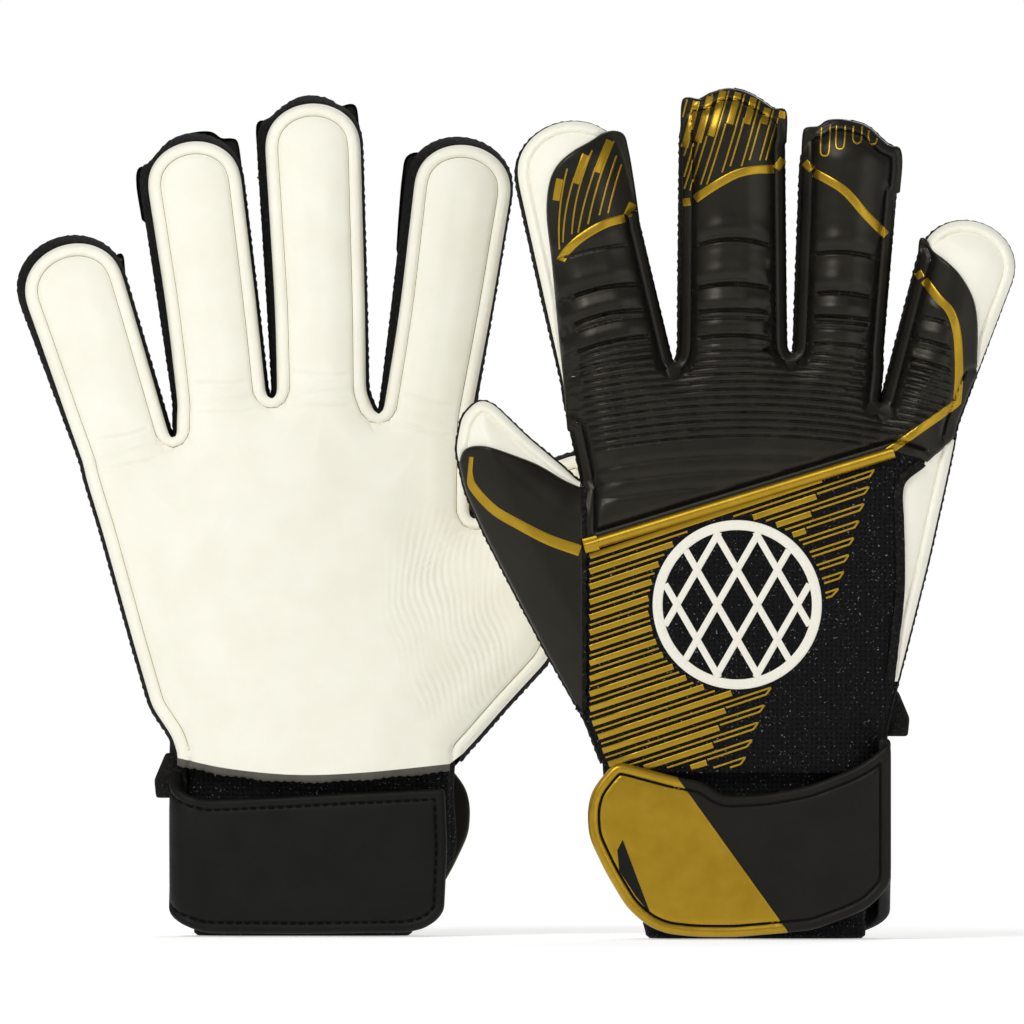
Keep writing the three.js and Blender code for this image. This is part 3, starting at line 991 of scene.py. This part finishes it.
class FoamSheet:
    """A piece of the foam: its outline, and the edges that are stitched rather than glued on latex."""

    def __init__(self, loop, glued):
        self.outline = Outline(loop)
        sewn = self.outline.fine[Path(glued).distance(self.outline.fine) > 0.8]
        self.sewn_edge = Path(sewn) if len(sewn) else None

    def from_seam(self, xy):
        """The distance from the sewn edge."""
        return self.sewn_edge.distance(xy) if self.sewn_edge else np.full(len(xy), 50.0)


def shell_wall(glove, surfaces, borders, start, end):
    """The side wall between palm and back along a stretch of the outline, bulging a little."""
    loop = glove.outline.points
    inner = surfaces.palm_loop
    count = len(loop)
    i, j = (int(np.argmin(np.linalg.norm(loop - np.asarray(p), axis=1))) for p in (start, end))
    ids = np.arange(i, j + 1 if i <= j else j + 1 + count) % count
    outward = -right_of(loop, closed=True)[ids]
    rows = []
    for t in np.linspace(0, 1, WALL_ROWS):
        ragged = 0.16 * np.sin(ids * 2.1 + 7 * t) + 0.12 * np.sin(ids * 3.7 - 5 * t)
        bulge = (1.0 + ragged) * math.sin(math.pi * t) ** 0.6
        xy = inner[ids] * (1 - t) + borders.wall_loop[ids] * t + outward * bulge[:, None]
        z = PALM_EDGE_Z - 0.2 + (BACK_EDGE_Z - PALM_EDGE_Z + 0.4) * t
        rows.append(np.column_stack([xy, np.full(len(ids), z)]))
    points = np.stack(rows, axis=1).reshape(-1, 3)
    return points, flipped(grid_faces(len(ids), WALL_ROWS))


def make_palm(glove, surfaces):
    wrist_edge = curve([(47.5, 59.4), (30, 55.8), (8, 53.8), (-15, 54.6), (-43.2, 57.4)], 1.0)
    loop = surfaces.palm_loop
    upper = loop[loop[:, 1] > 60.5]
    gap = int(np.argmax(np.linalg.norm(np.diff(np.vstack([upper, upper[:1]]), axis=0), axis=1)))
    upper = np.roll(upper, -(gap + 1), axis=0)
    outline = Outline(np.vstack([upper, wrist_edge]))
    xy, faces = flat_sheet(outline, 0.8)
    points = np.column_stack([xy, surfaces.palm(xy)])
    replaced = {"hand": ["palm_latex"], "digit": ["palm"]}
    add(glove, "latex_front", points, flipped(faces), LATEX, "latex", replaced, padded=0.6)

    lining_xy, lining_faces = flat_sheet(Outline(outline.inset(4.5, 1.5)), 2.5, rows=())
    quilt = 0.25 * np.sin(lining_xy[:, 0] * 0.8) * np.sin(lining_xy[:, 1] * 0.8)
    lining = np.column_stack([lining_xy, PALM_EDGE_Z + 0.4 + quilt])
    add(glove, "lining", lining, lining_faces, LINING, "lining", {"hand": ["palm_lining"]}, padded=0.2)

    rows = []
    ragged = 0.25 * np.sin(wrist_edge[:, 0] * 2.3) + 0.2 * np.sin(wrist_edge[:, 0] * 5.9)
    section = ((0.0, 0.1), (0.4, -0.9), (1.0, -2.0), (1.8, -2.5), (2.8, -2.3), (3.6, 0.6), (3.8, 3.0))
    for depth, drop in section:
        xy = wrist_edge + np.column_stack([0 * ragged, drop + ragged * (drop < -0.5)])
        rows.append(np.column_stack([xy, surfaces.palm(wrist_edge) + depth]))
    edge = np.stack(rows, axis=1).reshape(-1, 3)
    faces = flipped(grid_faces(len(wrist_edge), len(section)))
    add(glove, "raw_palm_edge", edge, faces, RAW_EDGE, "gusset_knit", bends=False)


def make_walls(glove, surfaces, borders):
    """The knitted side walls, all the way round from one side of the wrist to the other."""
    outline = glove.outline.points
    wrist_left = outline[np.argmin(np.abs(outline[:, 1] - 58) + 100 * (outline[:, 0] > 0))]
    wrist_right = outline[np.argmin(np.abs(outline[:, 1] - 58) + 100 * (outline[:, 0] < 0))]
    wall = shell_wall(glove, surfaces, borders, wrist_left, wrist_right)
    replaced = {"hand": ["thumb_side_wall", "web_wall", "outer_side_wall"], "digit": ["gusset"]}
    add(glove, "knit_gusset", *wall, KNIT, "gusset_knit", replaced, padded=0.5)


def make_back(glove, surfaces, borders):
    sheets = []
    for outline in borders.rolls:
        xy, faces = flat_sheet(outline, 1.1)
        sheets.append((np.column_stack([xy, surfaces.roll(xy, borders.covered_outline)]), faces))
    add(glove, "latex_roll", *joined(sheets), LATEX, "latex", padded=0.5)

    sheets = []
    for sheet, details in ((borders.ribbed, surfaces.relief_lines()), (borders.thumb, None)):
        xy, faces = flat_sheet(sheet.outline, 0.95, details=details)
        sheets.append((np.column_stack([xy, surfaces.foam(xy, sheet)]), faces))
    replaced = {"hand": ["ribbed_back_panel"], "digit": ["back"]}
    add(glove, "foam_back", *joined(sheets), FOAM, "back_foam", replaced, padded=0.7)

    xy, faces = flat_sheet(borders.mesh, 1.2, rows=(0.4, 1.2, 2.4))
    points = np.column_stack([xy, surfaces.mesh(xy, borders.mesh)])
    add(glove, "mesh_back", points, faces, MESH, "knit_mesh", {"hand": ["mesh_back_panel"]},
        padded=0.5, bends=False)


def foam_over(surfaces, sheet):
    return lambda xy: surfaces.foam(xy, sheet)


def make_stitching(glove, surfaces, borders):
    """Dark stitches in a pressed line, a few millimetres inside the foam's sewn edges, each run laid over a dark
    ribbon of painted shade in the groove.
    """
    rows = []
    surface = foam_over(surfaces, borders.ribbed)
    seam = borders.ribbed.outline.inset(FOAM_SEAM, 0.6)
    on_seam = np.abs(borders.ribbed.from_seam(seam) - FOAM_SEAM) < 0.25
    for run in runs_where(on_seam):
        rows.append(stitches(seam[run], surface))
        # the ribbon under the stitches is painted shade in the pressed groove
        rows.append(ribbon(seam[run], 0.9, surface, 0.1))
    add(glove, "dark_stitches", *joined(rows), DARK_THREAD_AND_GROOVE_SHADE, "gusset_knit")


def make_crease_shade_lines(glove, surfaces, borders):
    """Painted crease shade: narrow dark lines laid where the latex is folded over, inside the rims of palm and
    back.
    """
    lines = []
    # each crease gets a thin dark ribbon: painted shade in the fold
    path = surfaces.palm_dome.inset(PALM_CREASE, 0.6)
    kept = np.abs(surfaces.palm_dome.depth(path) - PALM_CREASE) < 0.2
    kept &= path[:, 1] > surfaces.wrist + 4
    for run in runs_where(kept):
        points, faces = ribbon(path[run], 0.42, lambda xy: -surfaces.palm(xy), 0.1)
        lines.append((points * [1, 1, -1], flipped(faces)))
    path = surfaces.dome.inset(ROLL_CREASE, 0.6)
    kept = (borders.covered_outline.depth(path) < -0.8) & (path[:, 1] > surfaces.wrist + 4)
    for run in runs_where(kept):
        lines.append(ribbon(path[run], 0.36, lambda xy: surfaces.roll(xy, borders.covered_outline), 0.1))
    add(glove, "latex_creases", *joined(lines), CREASE_SHADE_PAINT, "latex")


def make_seam_strips(glove, surfaces, borders):
    """Knitted strips: over the seam between thumb and hand, and down the outer side of the mesh."""
    low, high = glove.seam
    thumb_seam = resampled([low + [-0.8, 1.5], high + [-0.8, -1.0]], 1.0)
    above = lambda xy: surfaces.back(xy) + 1.1
    wavy = thumb_seam + 0.25 * np.column_stack([np.sin(thumb_seam[:, 1] * 0.9), np.zeros(len(thumb_seam))])
    strips = [ribbon(wavy, 3.6, above, 0.7)]
    end = borders.piping[1]
    outer = borders.latex["outer"]
    side = outer[outer[:, 1] < end[1] + 3] + [-1.6, 0]
    side = side[borders.mesh.depth(side) > 0.3]
    strips.append(ribbon(side, 3.0, above, 0.5))
    add(glove, "knit_seam_strips", *joined(strips), KNIT, "gusset_knit", bends=False)


def runs_where(kept, shortest=6):
    """The stretches of indices over which `kept` holds."""
    runs = (run[kept[run]] for run in np.split(np.arange(len(kept)), np.where(~kept)[0]))
    return [run for run in runs if len(run) >= shortest]


def finger_lines(name):
    """Thin gold lines that sweep up from a finger's stripe, and thick blocks near its tip."""
    if name == "ring":
        thin = []
        for v, low in ((-8.6, 66.5), (-3.8, 69), (1.6, 71.2), (6.6, 71.2)):
            thin.append([(77, v - 1.4), (low + 1.2, v - 1.3), (low, v), (low + 1.2, v + 1.3), (77, v + 1.4)])
        return thin, []
    stripe = curve(STRIPES[name], 0.5)
    look = FINGER_PRINTS[name]
    thin, thick = [], []
    for end, across, slope, bend in look["blocks"]:
        u = np.arange(36, 92, 2.0)
        v = across + slope * (u - end) + bend * (u - end) ** 2
        above = u > np.interp(v, stripe[:, 1], stripe[:, 0]) + 2.0
        line = np.column_stack([u, v])[above]
        thin.append(line[line[:, 0] < end + 2])
        thick.append(line[line[:, 0] > end - 1] + [0, BLOCK_WIDTH / 2])
        beside = np.column_stack([u, v + look["beside"]])
        thin.append(beside[u > np.interp(beside[:, 1], stripe[:, 1], stripe[:, 0]) + 2.0])
    return [path for path in thin if len(path) > 2], [path for path in thick if len(path) > 2]


def make_gold(glove, surfaces, borders):
    ribbed, thumb = borders.ribbed, borders.thumb
    index_border = Path(borders.latex["index"][:-16])
    parts = []

    def print_line(path, width, sheet, lift=0.16, margin=0.6):
        path = resampled(path, 0.6)
        printed = (sheet.outline.depth(path) > margin) & (index_border.distance(path) > 3.0)
        for run in runs_where(printed, 4):
            parts.append(ribbon(path[run], width, foam_over(surfaces, sheet), lift))

    for name, points in STRIPES.items():
        digit = glove.digits[name]
        sheet = thumb if name == "thumb" else ribbed
        width = (lambda t: 1.5 + 1.2 * step(t, 0.08, 0.2) + 1.2 * t) if name == "thumb" else 2.9
        print_line(curve(digit.place(points)), width, sheet, 0.22)
        for path in STRIPE_ENDS.get(name, ()):
            print_line(digit.place(path), 2.7, sheet, 0.2, margin=0.3)
    for name in ("index", "middle", "ring"):
        digit = glove.digits[name]
        thin, thick = finger_lines(name)
        for path in thin:
            print_line(curve(digit.place(path)), 0.62, ribbed)
        for path in thick:
            print_line(curve(digit.place(path)), BLOCK_WIDTH, ribbed, 0.13)
    pinky = glove.digits["pinky"]
    on_hand = pinky.place([STRIPES["pinky"][-1], *STRIPE_ON_HAND])
    print_line(curve([*on_hand, *glove.shifted([STRIPE_END])]), 2.7, ribbed, 0.22)
    add(glove, "gold_print", *joined(parts), GOLD, "gold_print")


def mesh_under(surfaces, borders):
    return lambda xy: surfaces.mesh(xy, borders.mesh)


def make_piping(glove, surfaces, borders):
    """The gold bead between the back's two panels, with a flat end."""
    start, end = borders.piping
    along = unit(end - start)
    down = np.array([along[1], -along[0]])
    bead = resampled([start + along * 0.5, end], 1.0)
    end_cap = resampled([start + along * 0.2 - down * 0.2, start + along * 5.0], 0.5)
    gold = [
        cord_on(bead, PIPING_RADIUS, surfaces.back, sink=0.12, sides=14),
        ribbon(end_cap, 5.0, lambda xy: surfaces.back(xy) + 2.6, 0.5),
    ]
    add(glove, "piping", *joined(gold), GOLD, "gold_print", {"hand": ["seam_piping"]}, bends=False)


def make_bars(glove, surfaces, borders):
    """The thick gold bars printed on the mesh, with a thin loop below each one."""
    start, end = borders.piping
    surface = mesh_under(surfaces, borders)
    lean = math.radians(BAR_LEAN)
    turn = np.array([[math.cos(lean), -math.sin(lean)], [math.sin(lean), math.cos(lean)]])
    along = turn @ unit(end - start)
    down = np.array([along[1], -along[0]])
    bars = []
    for k in range(BAR_COUNT):
        bar, loop_high, loop_low = (start + down * (3.6 + BAR_PITCH * k + aside) for aside in (0, 2.4, 4.05))
        left = bar + along * ((start[0] + 1.6 - bar[0]) / along[0])
        bar_end, high_end, low_end = (
            crossing(origin, along, start + np.array(ends))
            for origin, ends in ((bar, BAR_ENDS), (loop_high, LOOP_ENDS), (loop_low, LOOP_ENDS))
        )
        low_end = low_end - along * 0.9
        next_end = crossing(loop_low, along, start + np.array(BAR_ENDS))
        loop_left = loop_high + along * ((start[0] + 1.6 - loop_high[0]) / along[0])
        for path, width in (([left, bar_end], 2.0), ([loop_left, high_end, low_end, next_end], 0.68)):
            bars += badge_clear(resampled(path, 0.5), width, surface, start + BADGE_OFFSET, borders.mesh)
    add(glove, "gold_bars", *joined(bars), GOLD, "gold_print", bends=False)


def make_badge(glove, surfaces, borders):
    """The white badge: a ring round a net."""
    centre = borders.piping[0] + BADGE_OFFSET
    surface = mesh_under(surfaces, borders)
    angles = np.linspace(0, -2 * np.pi, 200, endpoint=False)
    ring = centre + (BADGE_RADIUS - 1.7) * np.column_stack([np.cos(angles), np.sin(angles)])
    white = [ribbon(ring, 3.4, surface, 0.3, closed=True)]
    reach = BADGE_RADIUS - 3.2
    for turn in (60, -60):
        direction = np.array([math.cos(math.radians(turn)), math.sin(math.radians(turn))])
        side = np.array([-direction[1], direction[0]])
        for k in (-1.5, -0.5, 0.5, 1.5):
            offset = k * 11.5
            half = math.sqrt(reach**2 - offset**2)
            line = [centre + side * offset - direction * half, centre + side * offset + direction * half]
            white.append(ribbon(resampled(line, 1.0), 2.3, surface, 0.22 + 0.04 * (turn > 0)))
    add(glove, "badge", *joined(white), PRINT, "white_print", bends=False)


def crossing(origin, along, line):
    """Where the straight line from `origin` meets a line of points that runs down its right side."""
    side = np.array([-along[1], along[0]])
    heights = (line - origin) @ side
    reach = (line - origin) @ along
    return origin + along * np.interp(0, heights[::-1], reach[::-1])


def badge_clear(path, width, surface, centre, outline):
    """The parts of a gold line that lie on the mesh and clear of the badge."""
    clear = np.linalg.norm(path - centre, axis=1) > BADGE_RADIUS + 1.2
    clear &= outline.depth(path) > 1.6
    return [ribbon(path[run], width, surface, 0.16) for run in runs_where(clear, 4)]


# ---------------------------------------------------------------- cuff and strap


def rounded_edge(d, reach, height):
    """Height of a padded piece over its middle plane, at a depth d inside its edge."""
    return height * np.sqrt(np.clip(1 - (1 - np.clip(d / reach, 0, 1)) ** 2, 0, 1))


def hemmed(d, height):
    """A padded piece with a bead of piping at its edge, a stitched groove and a flatter middle."""
    inner = 0.25 * np.sin(np.pi * np.clip((d - HEM) / 18, 0, 0.5))
    return rounded_edge(d, 1.9, height) - 0.35 * step(d, 2.0, HEM) - 0.6 * bump(d, HEM + 0.3, 0.5) + inner


def pad(outline, spacing, top, bottom):
    """A closed piece with the given outline; top and bottom give its two faces' heights."""
    xy, faces = flat_sheet(outline, spacing, rows=PAD_ROWS)
    d = outline.distance(xy)
    edges = np.sort(np.vstack([faces[:, [0, 1]], faces[:, [1, 2]], faces[:, [2, 0]]]), axis=1)
    pairs, counts = np.unique(edges, axis=0, return_counts=True)
    on_edge = np.zeros(len(xy), bool)
    on_edge[pairs[counts == 1].ravel()] = True
    under = np.where(on_edge, np.arange(len(xy)), len(xy) + np.cumsum(~on_edge) - 1)
    upper = np.column_stack([xy, top(xy, d)])
    lower = np.column_stack([xy, bottom(xy, d)])[~on_edge]
    upper[on_edge, 2] = (top(xy, d) + bottom(xy, d))[on_edge] / 2
    return np.vstack([upper, lower]), np.vstack([faces, under[flipped(faces)]])


TAB_WEDGE = [(-38.4, 33), (-29.2, 8.4), (-34, 14.2), (-39.6, 22.8), (-40.2, 29.6)]
# The lower corner of the band's loose end, which is cut off further on the front glove.
BAND_CORNERS = {
    "glove_a": [(14, 1.4), (8.5, 2.6), (4.2, 5.2), (1.6, 8.6), (0.6, 30)],
    "glove_b": [(25, 2.4), (15.5, 6.5), (8.2, 12), (3.0, 20), (0.4, 27)],
}
BAND_RADIUS = 9.0  # of the turn from the palm side of the wrist to its outer side
BAND_HALF = 2.1  # half of its thickness
BAND_CLIMB = 17.0  # how much higher it is at the back of the wrist, because it winds at a slant


class BandPath:
    """Bends the flat strap band round the wrist: `along` it, `up` the wrist and `out` of its middle."""

    def __init__(self, glove):
        low, high = glove.box("strap_band")
        self.left, self.front = low[0], low[2]
        self.turn = BAND_RADIUS - BAND_HALF
        self.flat = high[0] - BAND_RADIUS - self.left
        self.arc = self.turn * math.pi / 2
        self.length = self.flat + self.arc + high[2] - 0.4 - self.front - BAND_RADIUS

    def place(self, points):
        along, up, out = np.asarray(points, float).T
        angle = np.clip((along - self.flat) / self.arc, 0, 1) * math.pi / 2
        beyond = np.maximum(along - self.flat - self.arc, 0)
        x = self.left + np.minimum(along, self.flat) + (self.turn + out) * np.sin(angle)
        z = self.front + BAND_RADIUS - (self.turn + out) * np.cos(angle) + beyond
        climb = BAND_CLIMB * step(along, self.flat - 6, self.length)
        return np.column_stack([x, up + climb, z])


def make_band(glove):
    path = BandPath(glove)
    end = path.length
    outline = [
        (1.4, 49.3), (30, 48.0), (60, 46.4), (path.flat + 4, 45.2), (end, 50), (end, 1.4),
        (path.flat, 1.2), (50, 0.9), *BAND_CORNERS[glove.name],
    ]
    outline = Outline(rounded(outline, 1.2))
    top = lambda xy, d: hemmed(d, BAND_HALF) + 0.12 * unevenness(xy * 1.5)
    points, faces = pad(outline, 1.5, top, lambda xy, d: -rounded_edge(d, 1.2, BAND_HALF))
    add(glove, "strap_band_padded", path.place(points), flipped(faces), BAND, "strap_fabric",
        {"hand": ["strap_band"]}, padded=0.8, bends=False)
    in_groove = lambda xy: np.full(len(xy), BAND_HALF - 0.75)
    seam, thread_faces = stitches(outline.inset(HEM_SEAM), in_groove, closed=True)
    add(glove, "band_stitches", path.place(seam), flipped(thread_faces), DARK_THREAD_AND_GROOVE_SHADE, "strap_fabric",
        bends=False)


def make_flap(glove):
    """The strap's free end, with its gold tab laid over it and a piped, stitched edge all round."""
    outline = Outline(rounded(glove.plate_outline(f"{glove.name}_strap_flap"), 2.4))
    tab = glove.plate_outline(f"{glove.name}_strap_end_tab")
    sides = np.roll(tab, -1, axis=0) - tab
    k = int(np.argmax(np.linalg.norm(sides, axis=1)))
    seam_from, seam_to = tab[k], tab[(k + 1) % len(tab)]
    across = right_of(np.array([seam_from, seam_to]))[0]
    if (tab.mean(0) - seam_from) @ across < 0:
        across = -across
    gold_side = lambda xy: (xy - seam_from) @ across > 0
    low, high = glove.box("strap_flap")
    middle, half = (low[2] + high[2]) / 2, (high[2] - low[2]) / 2 - 0.15
    top = lambda xy, d: middle + hemmed(d, half) + 0.15 * unevenness(xy * 1.3, 1.0)
    bottom = lambda xy, d: middle - rounded_edge(d, 1.2, half)
    points, faces = pad(outline, 1.2, top, bottom)
    add(glove, "strap_flap_padded", points, faces, STRAP, "strap_fabric", {"hand": ["strap_flap"]},
        padded=0.8, body="flap", bends=False)

    grown = Outline(outline.points - right_of(outline.points, closed=True) * 0.12)
    gold_part = Outline(clipped(grown.points, seam_from, seam_to, gold_side))
    cover = lambda xy, d: top(xy, np.maximum(grown.depth(xy), 0)) + 0.35 - 0.3 * (1 - step(d, 0, 0.5))
    under = lambda xy, d: np.full(len(xy), middle + 0.1)
    points, faces = pad(gold_part, 1.2, cover, under)
    add(glove, "strap_tab_gold", points, faces, GOLD, "gold_print", {"hand": ["strap_end_tab"]},
        padded=0.6, body="flap", bends=False)

    seam = outline.inset(HEM_SEAM, 0.5)
    surface = lambda xy: top(xy, np.maximum(outline.depth(xy), 0)) + 0.4 * gold_side(xy)
    # the ribbon under these stitches is painted shade in their groove
    rows = [stitches(seam, surface, closed=True), ribbon(seam, 0.8, surface, 0.12, closed=True)]
    add(glove, "strap_stitches", *joined(rows), DARK_THREAD_AND_GROOVE_SHADE, "strap_fabric", body="flap", bends=False)

    wedge = Outline(TAB_WEDGE, 0.5)
    xy, faces = flat_sheet(wedge, 0.6, rows=())
    points = np.column_stack([xy, surface(xy) + 0.12])
    add(glove, "tab_wedge", points, faces, BAND, "strap_fabric", body="flap", bends=False)


def clipped(loop, a, b, keeps):
    """The part of a loop on the kept side of the line through a and b."""
    along = unit(b - a)
    inside = keeps(loop)
    kept = []
    for i, point in enumerate(loop):
        after = (i + 1) % len(loop)
        if inside[i]:
            kept.append(point)
        if inside[i] != inside[after]:
            side = np.array([-along[1], along[0]])
            h0, h1 = (point - a) @ side, (loop[after] - a) @ side
            kept.append(point + (loop[after] - point) * h0 / (h0 - h1))
    return np.array(kept)


def make_patches(glove):
    """The two halves of the hook-and-loop fastening."""
    fuzz = lambda xy: 0.14 * np.sin(xy[:, 0] * 5.1) * np.sin(xy[:, 1] * 4.7)
    for node, body in (("loop_patch", "hand"), ("hook_patch", "flap")):
        low, high = glove.box(node)
        middle, half = (low[2] + high[2]) / 2, (high[2] - low[2]) / 2
        outline = Outline(rounded(glove.plate_outline(f"{glove.name}_{node}"), 1.5))
        points, faces = pad(
            outline, 0.8, lambda xy, d: middle + rounded_edge(d, 0.8, half) + fuzz(xy),
            lambda xy, d: middle - rounded_edge(d, 0.8, half) + fuzz(xy),
        )
        add(glove, f"{node}_woven", points, faces, HOOK, "hook_and_loop", {"hand": [node]},
            body=body, bends=False)


def make_pull_tab(glove):
    low, high = glove.box("pull_tab")
    left = low[0] - 7
    loop = [
        (left, low[1]), (left, high[1]),
        (high[0] - 3.8, high[1]), (high[0], low[1] + 6), (high[0] - 0.6, low[1]),
    ]
    outline = Outline(rounded(loop, 1.2, 0.5), 0.5)
    middle = (low[2] + high[2]) / 2
    half = (high[2] - low[2]) / 2
    fold = lambda xy: 0.5 + 0.5 * step(high[0] - xy[:, 0], 0.0, 5.0)
    points, faces = pad(
        outline, 0.7, lambda xy, d: middle + rounded_edge(d, 1.6, half) * fold(xy),
        lambda xy, d: middle - rounded_edge(d, 1.6, half) * fold(xy),
    )
    add(glove, "pull_tab_folded", points, faces, KNIT, "gusset_knit", {"hand": ["pull_tab"]},
        padded=0.3, bends=False)


def make_sleeve(glove):
    """The knitted cuff: a flattened tube with soft folds, a thick hem and an inside."""
    low, high = glove.box("cuff_sleeve")
    half_width, half_depth = (high[0] - low[0]) / 2, (high[2] - low[2]) / 2
    middle = (low[2] + high[2]) / 2
    around, levels = 260, 60
    angle = np.linspace(0, 2 * np.pi, around, endpoint=False)
    shell = np.column_stack([np.sign(np.cos(angle)) * np.abs(np.cos(angle)) ** 0.55,
                             np.sign(np.sin(angle)) * np.abs(np.sin(angle)) ** 0.75])
    rows = []
    heights = np.r_[np.linspace(0.25, 59, levels), np.linspace(59, 0.25, levels)]
    for k, y in enumerate(heights):
        edge = step(y, 0.0, 1.2)
        if k < levels:  # the outside, which is drawn upwards; the inside goes down again
            hem = 0.55 * (1 - step(y, 5.2, 6.0)) * edge
            folds = 0.45 * np.sin(9 * angle + 0.05 * y) * np.sin(5 * angle + 1.0) * step(y, 6, 20)
            gather = -0.8 * bump(y, 48, 9) - 0.25 * bump(y, 6.2, 0.8)
            inset = 0.9 - hem - gather - folds + 0.8 * (1 - edge)
        else:
            inset = np.full(around, 2.5 + 0.3 * (1 - edge))
        taper = 15.0 * (1 - step(y, 0, 31)) * np.where(shell[:, 0] < 0, 1.0, 0.25)
        x = shell[:, 0] * (half_width - inset - taper)
        z = middle + shell[:, 1] * (half_depth - inset)
        rows.append(np.column_stack([x, np.full(around, y), z]))
    points = np.stack(rows).reshape(-1, 3)
    faces = grid_faces(2 * levels, around, closed_columns=True, closed_rows=True)
    add(glove, "cuff_mesh", points, faces, MESH, "knit_mesh", {"hand": ["cuff_sleeve"]},
        padded=0.4, bends=False)


def make_glove(name):
    glove = Glove(name)
    surfaces = Surfaces(glove)
    borders = Borders(glove)
    make_palm(glove, surfaces)
    make_walls(glove, surfaces, borders)
    make_back(glove, surfaces, borders)
    make_stitching(glove, surfaces, borders)
    make_crease_shade_lines(glove, surfaces, borders)
    make_seam_strips(glove, surfaces, borders)
    make_gold(glove, surfaces, borders)
    make_piping(glove, surfaces, borders)
    make_bars(glove, surfaces, borders)
    make_badge(glove, surfaces, borders)
    make_band(glove)
    make_flap(glove)
    make_patches(glove)
    make_pull_tab(glove)
    make_sleeve(glove)


for glove_name in ("glove_a", "glove_b"):
    make_glove(glove_name)

# ---------------------------------------------------------------- carried-over CAD pieces

NODE_MATERIALS = {
    "latex": LATEX, "back_foam": FOAM, "gusset_knit": KNIT, "knit_mesh": MESH, "gold_print": GOLD,
    "strap_fabric": STRAP, "hook_and_loop": HOOK, "lining": LINING, "white_print": PRINT,
}
for part in frame["record"]["subparts"]:
    node = frame["nodes"][part["node"]]
    node.data.materials.clear()
    node.data.materials.append(NODE_MATERIALS[part["material_slot"]])

# ---------------------------------------------------------------- stage, light and camera

low, high = cad_size


def floor():
    mesh = bpy.data.meshes.new("floor")
    side, front, back = 3.0, -9.0, 0.7
    corners = [(-side, front, 0), (side, front, 0), (side, back, 0), (-side, back, 0)]
    mesh.from_pydata(corners, [], [(0, 1, 2, 3)])
    n = Nodes("floor")
    n.surface(Base_Color=n.ramp(n.noise(30), [(0.3, gray(0.84)), (0.7, gray(0.87))]), Roughness=0.9)
    n.surface(Emission_Color=(1, 1, 1, 1), Emission_Strength=0.42)
    mesh.materials.append(n.material)
    obj = bpy.data.objects.new("floor", mesh)
    bpy.context.scene.collection.objects.link(obj)


def area_light(name, place, target, size, power):
    light = bpy.data.lights.new(name, "AREA")
    light.shape = "SQUARE"
    light.size = size
    light.energy = power
    obj = bpy.data.objects.new(name, light)
    obj.location = place
    obj.rotation_euler = (Vector(target) - Vector(place)).to_track_quat("-Z", "Y").to_euler()
    bpy.context.scene.collection.objects.link(obj)


def camera():
    """Straight ahead and far away, so that the view is almost flat."""
    distance, frame_width = 10.0, 0.338
    data = bpy.data.cameras.new("camera")
    data.sensor_width = 36
    data.lens = 36 * distance / frame_width
    data.clip_end = 100
    obj = bpy.data.objects.new("camera", data)
    centre = (low[0] + high[0]) / 2 - 0.0007
    obj.location = (centre, low[1] - distance, (low[2] + high[2]) / 2 + 0.0005)
    obj.rotation_euler = (math.pi / 2, 0, 0)
    bpy.context.scene.collection.objects.link(obj)
    bpy.context.scene.camera = obj


floor()
target = (0, 0, 0.14)
area_light("key", (-0.9, -1.5, 1.6), target, 0.9, 28)
area_light("fill", (1.3, -1.5, 0.5), target, 1.2, 7)
area_light("back", (0.3, 1.6, 1.3), target, 1.2, 14)
world = bpy.data.worlds.new("studio")
world.use_nodes = True
backdrop = world.node_tree.nodes["Background"]
rays = world.node_tree.nodes.new("ShaderNodeLightPath")
strength = world.node_tree.nodes.new("ShaderNodeMapRange")
strength.inputs["To Min"].default_value = 0.25
strength.inputs["To Max"].default_value = 1.0
world.node_tree.links.new(rays.outputs["Is Camera Ray"], strength.inputs["Value"])
world.node_tree.links.new(strength.outputs["Result"], backdrop.inputs["Strength"])
backdrop.inputs["Color"].default_value = (1, 1, 1, 1)
bpy.context.scene.world = world
bpy.context.scene.view_settings.view_transform = "Standard"
camera()
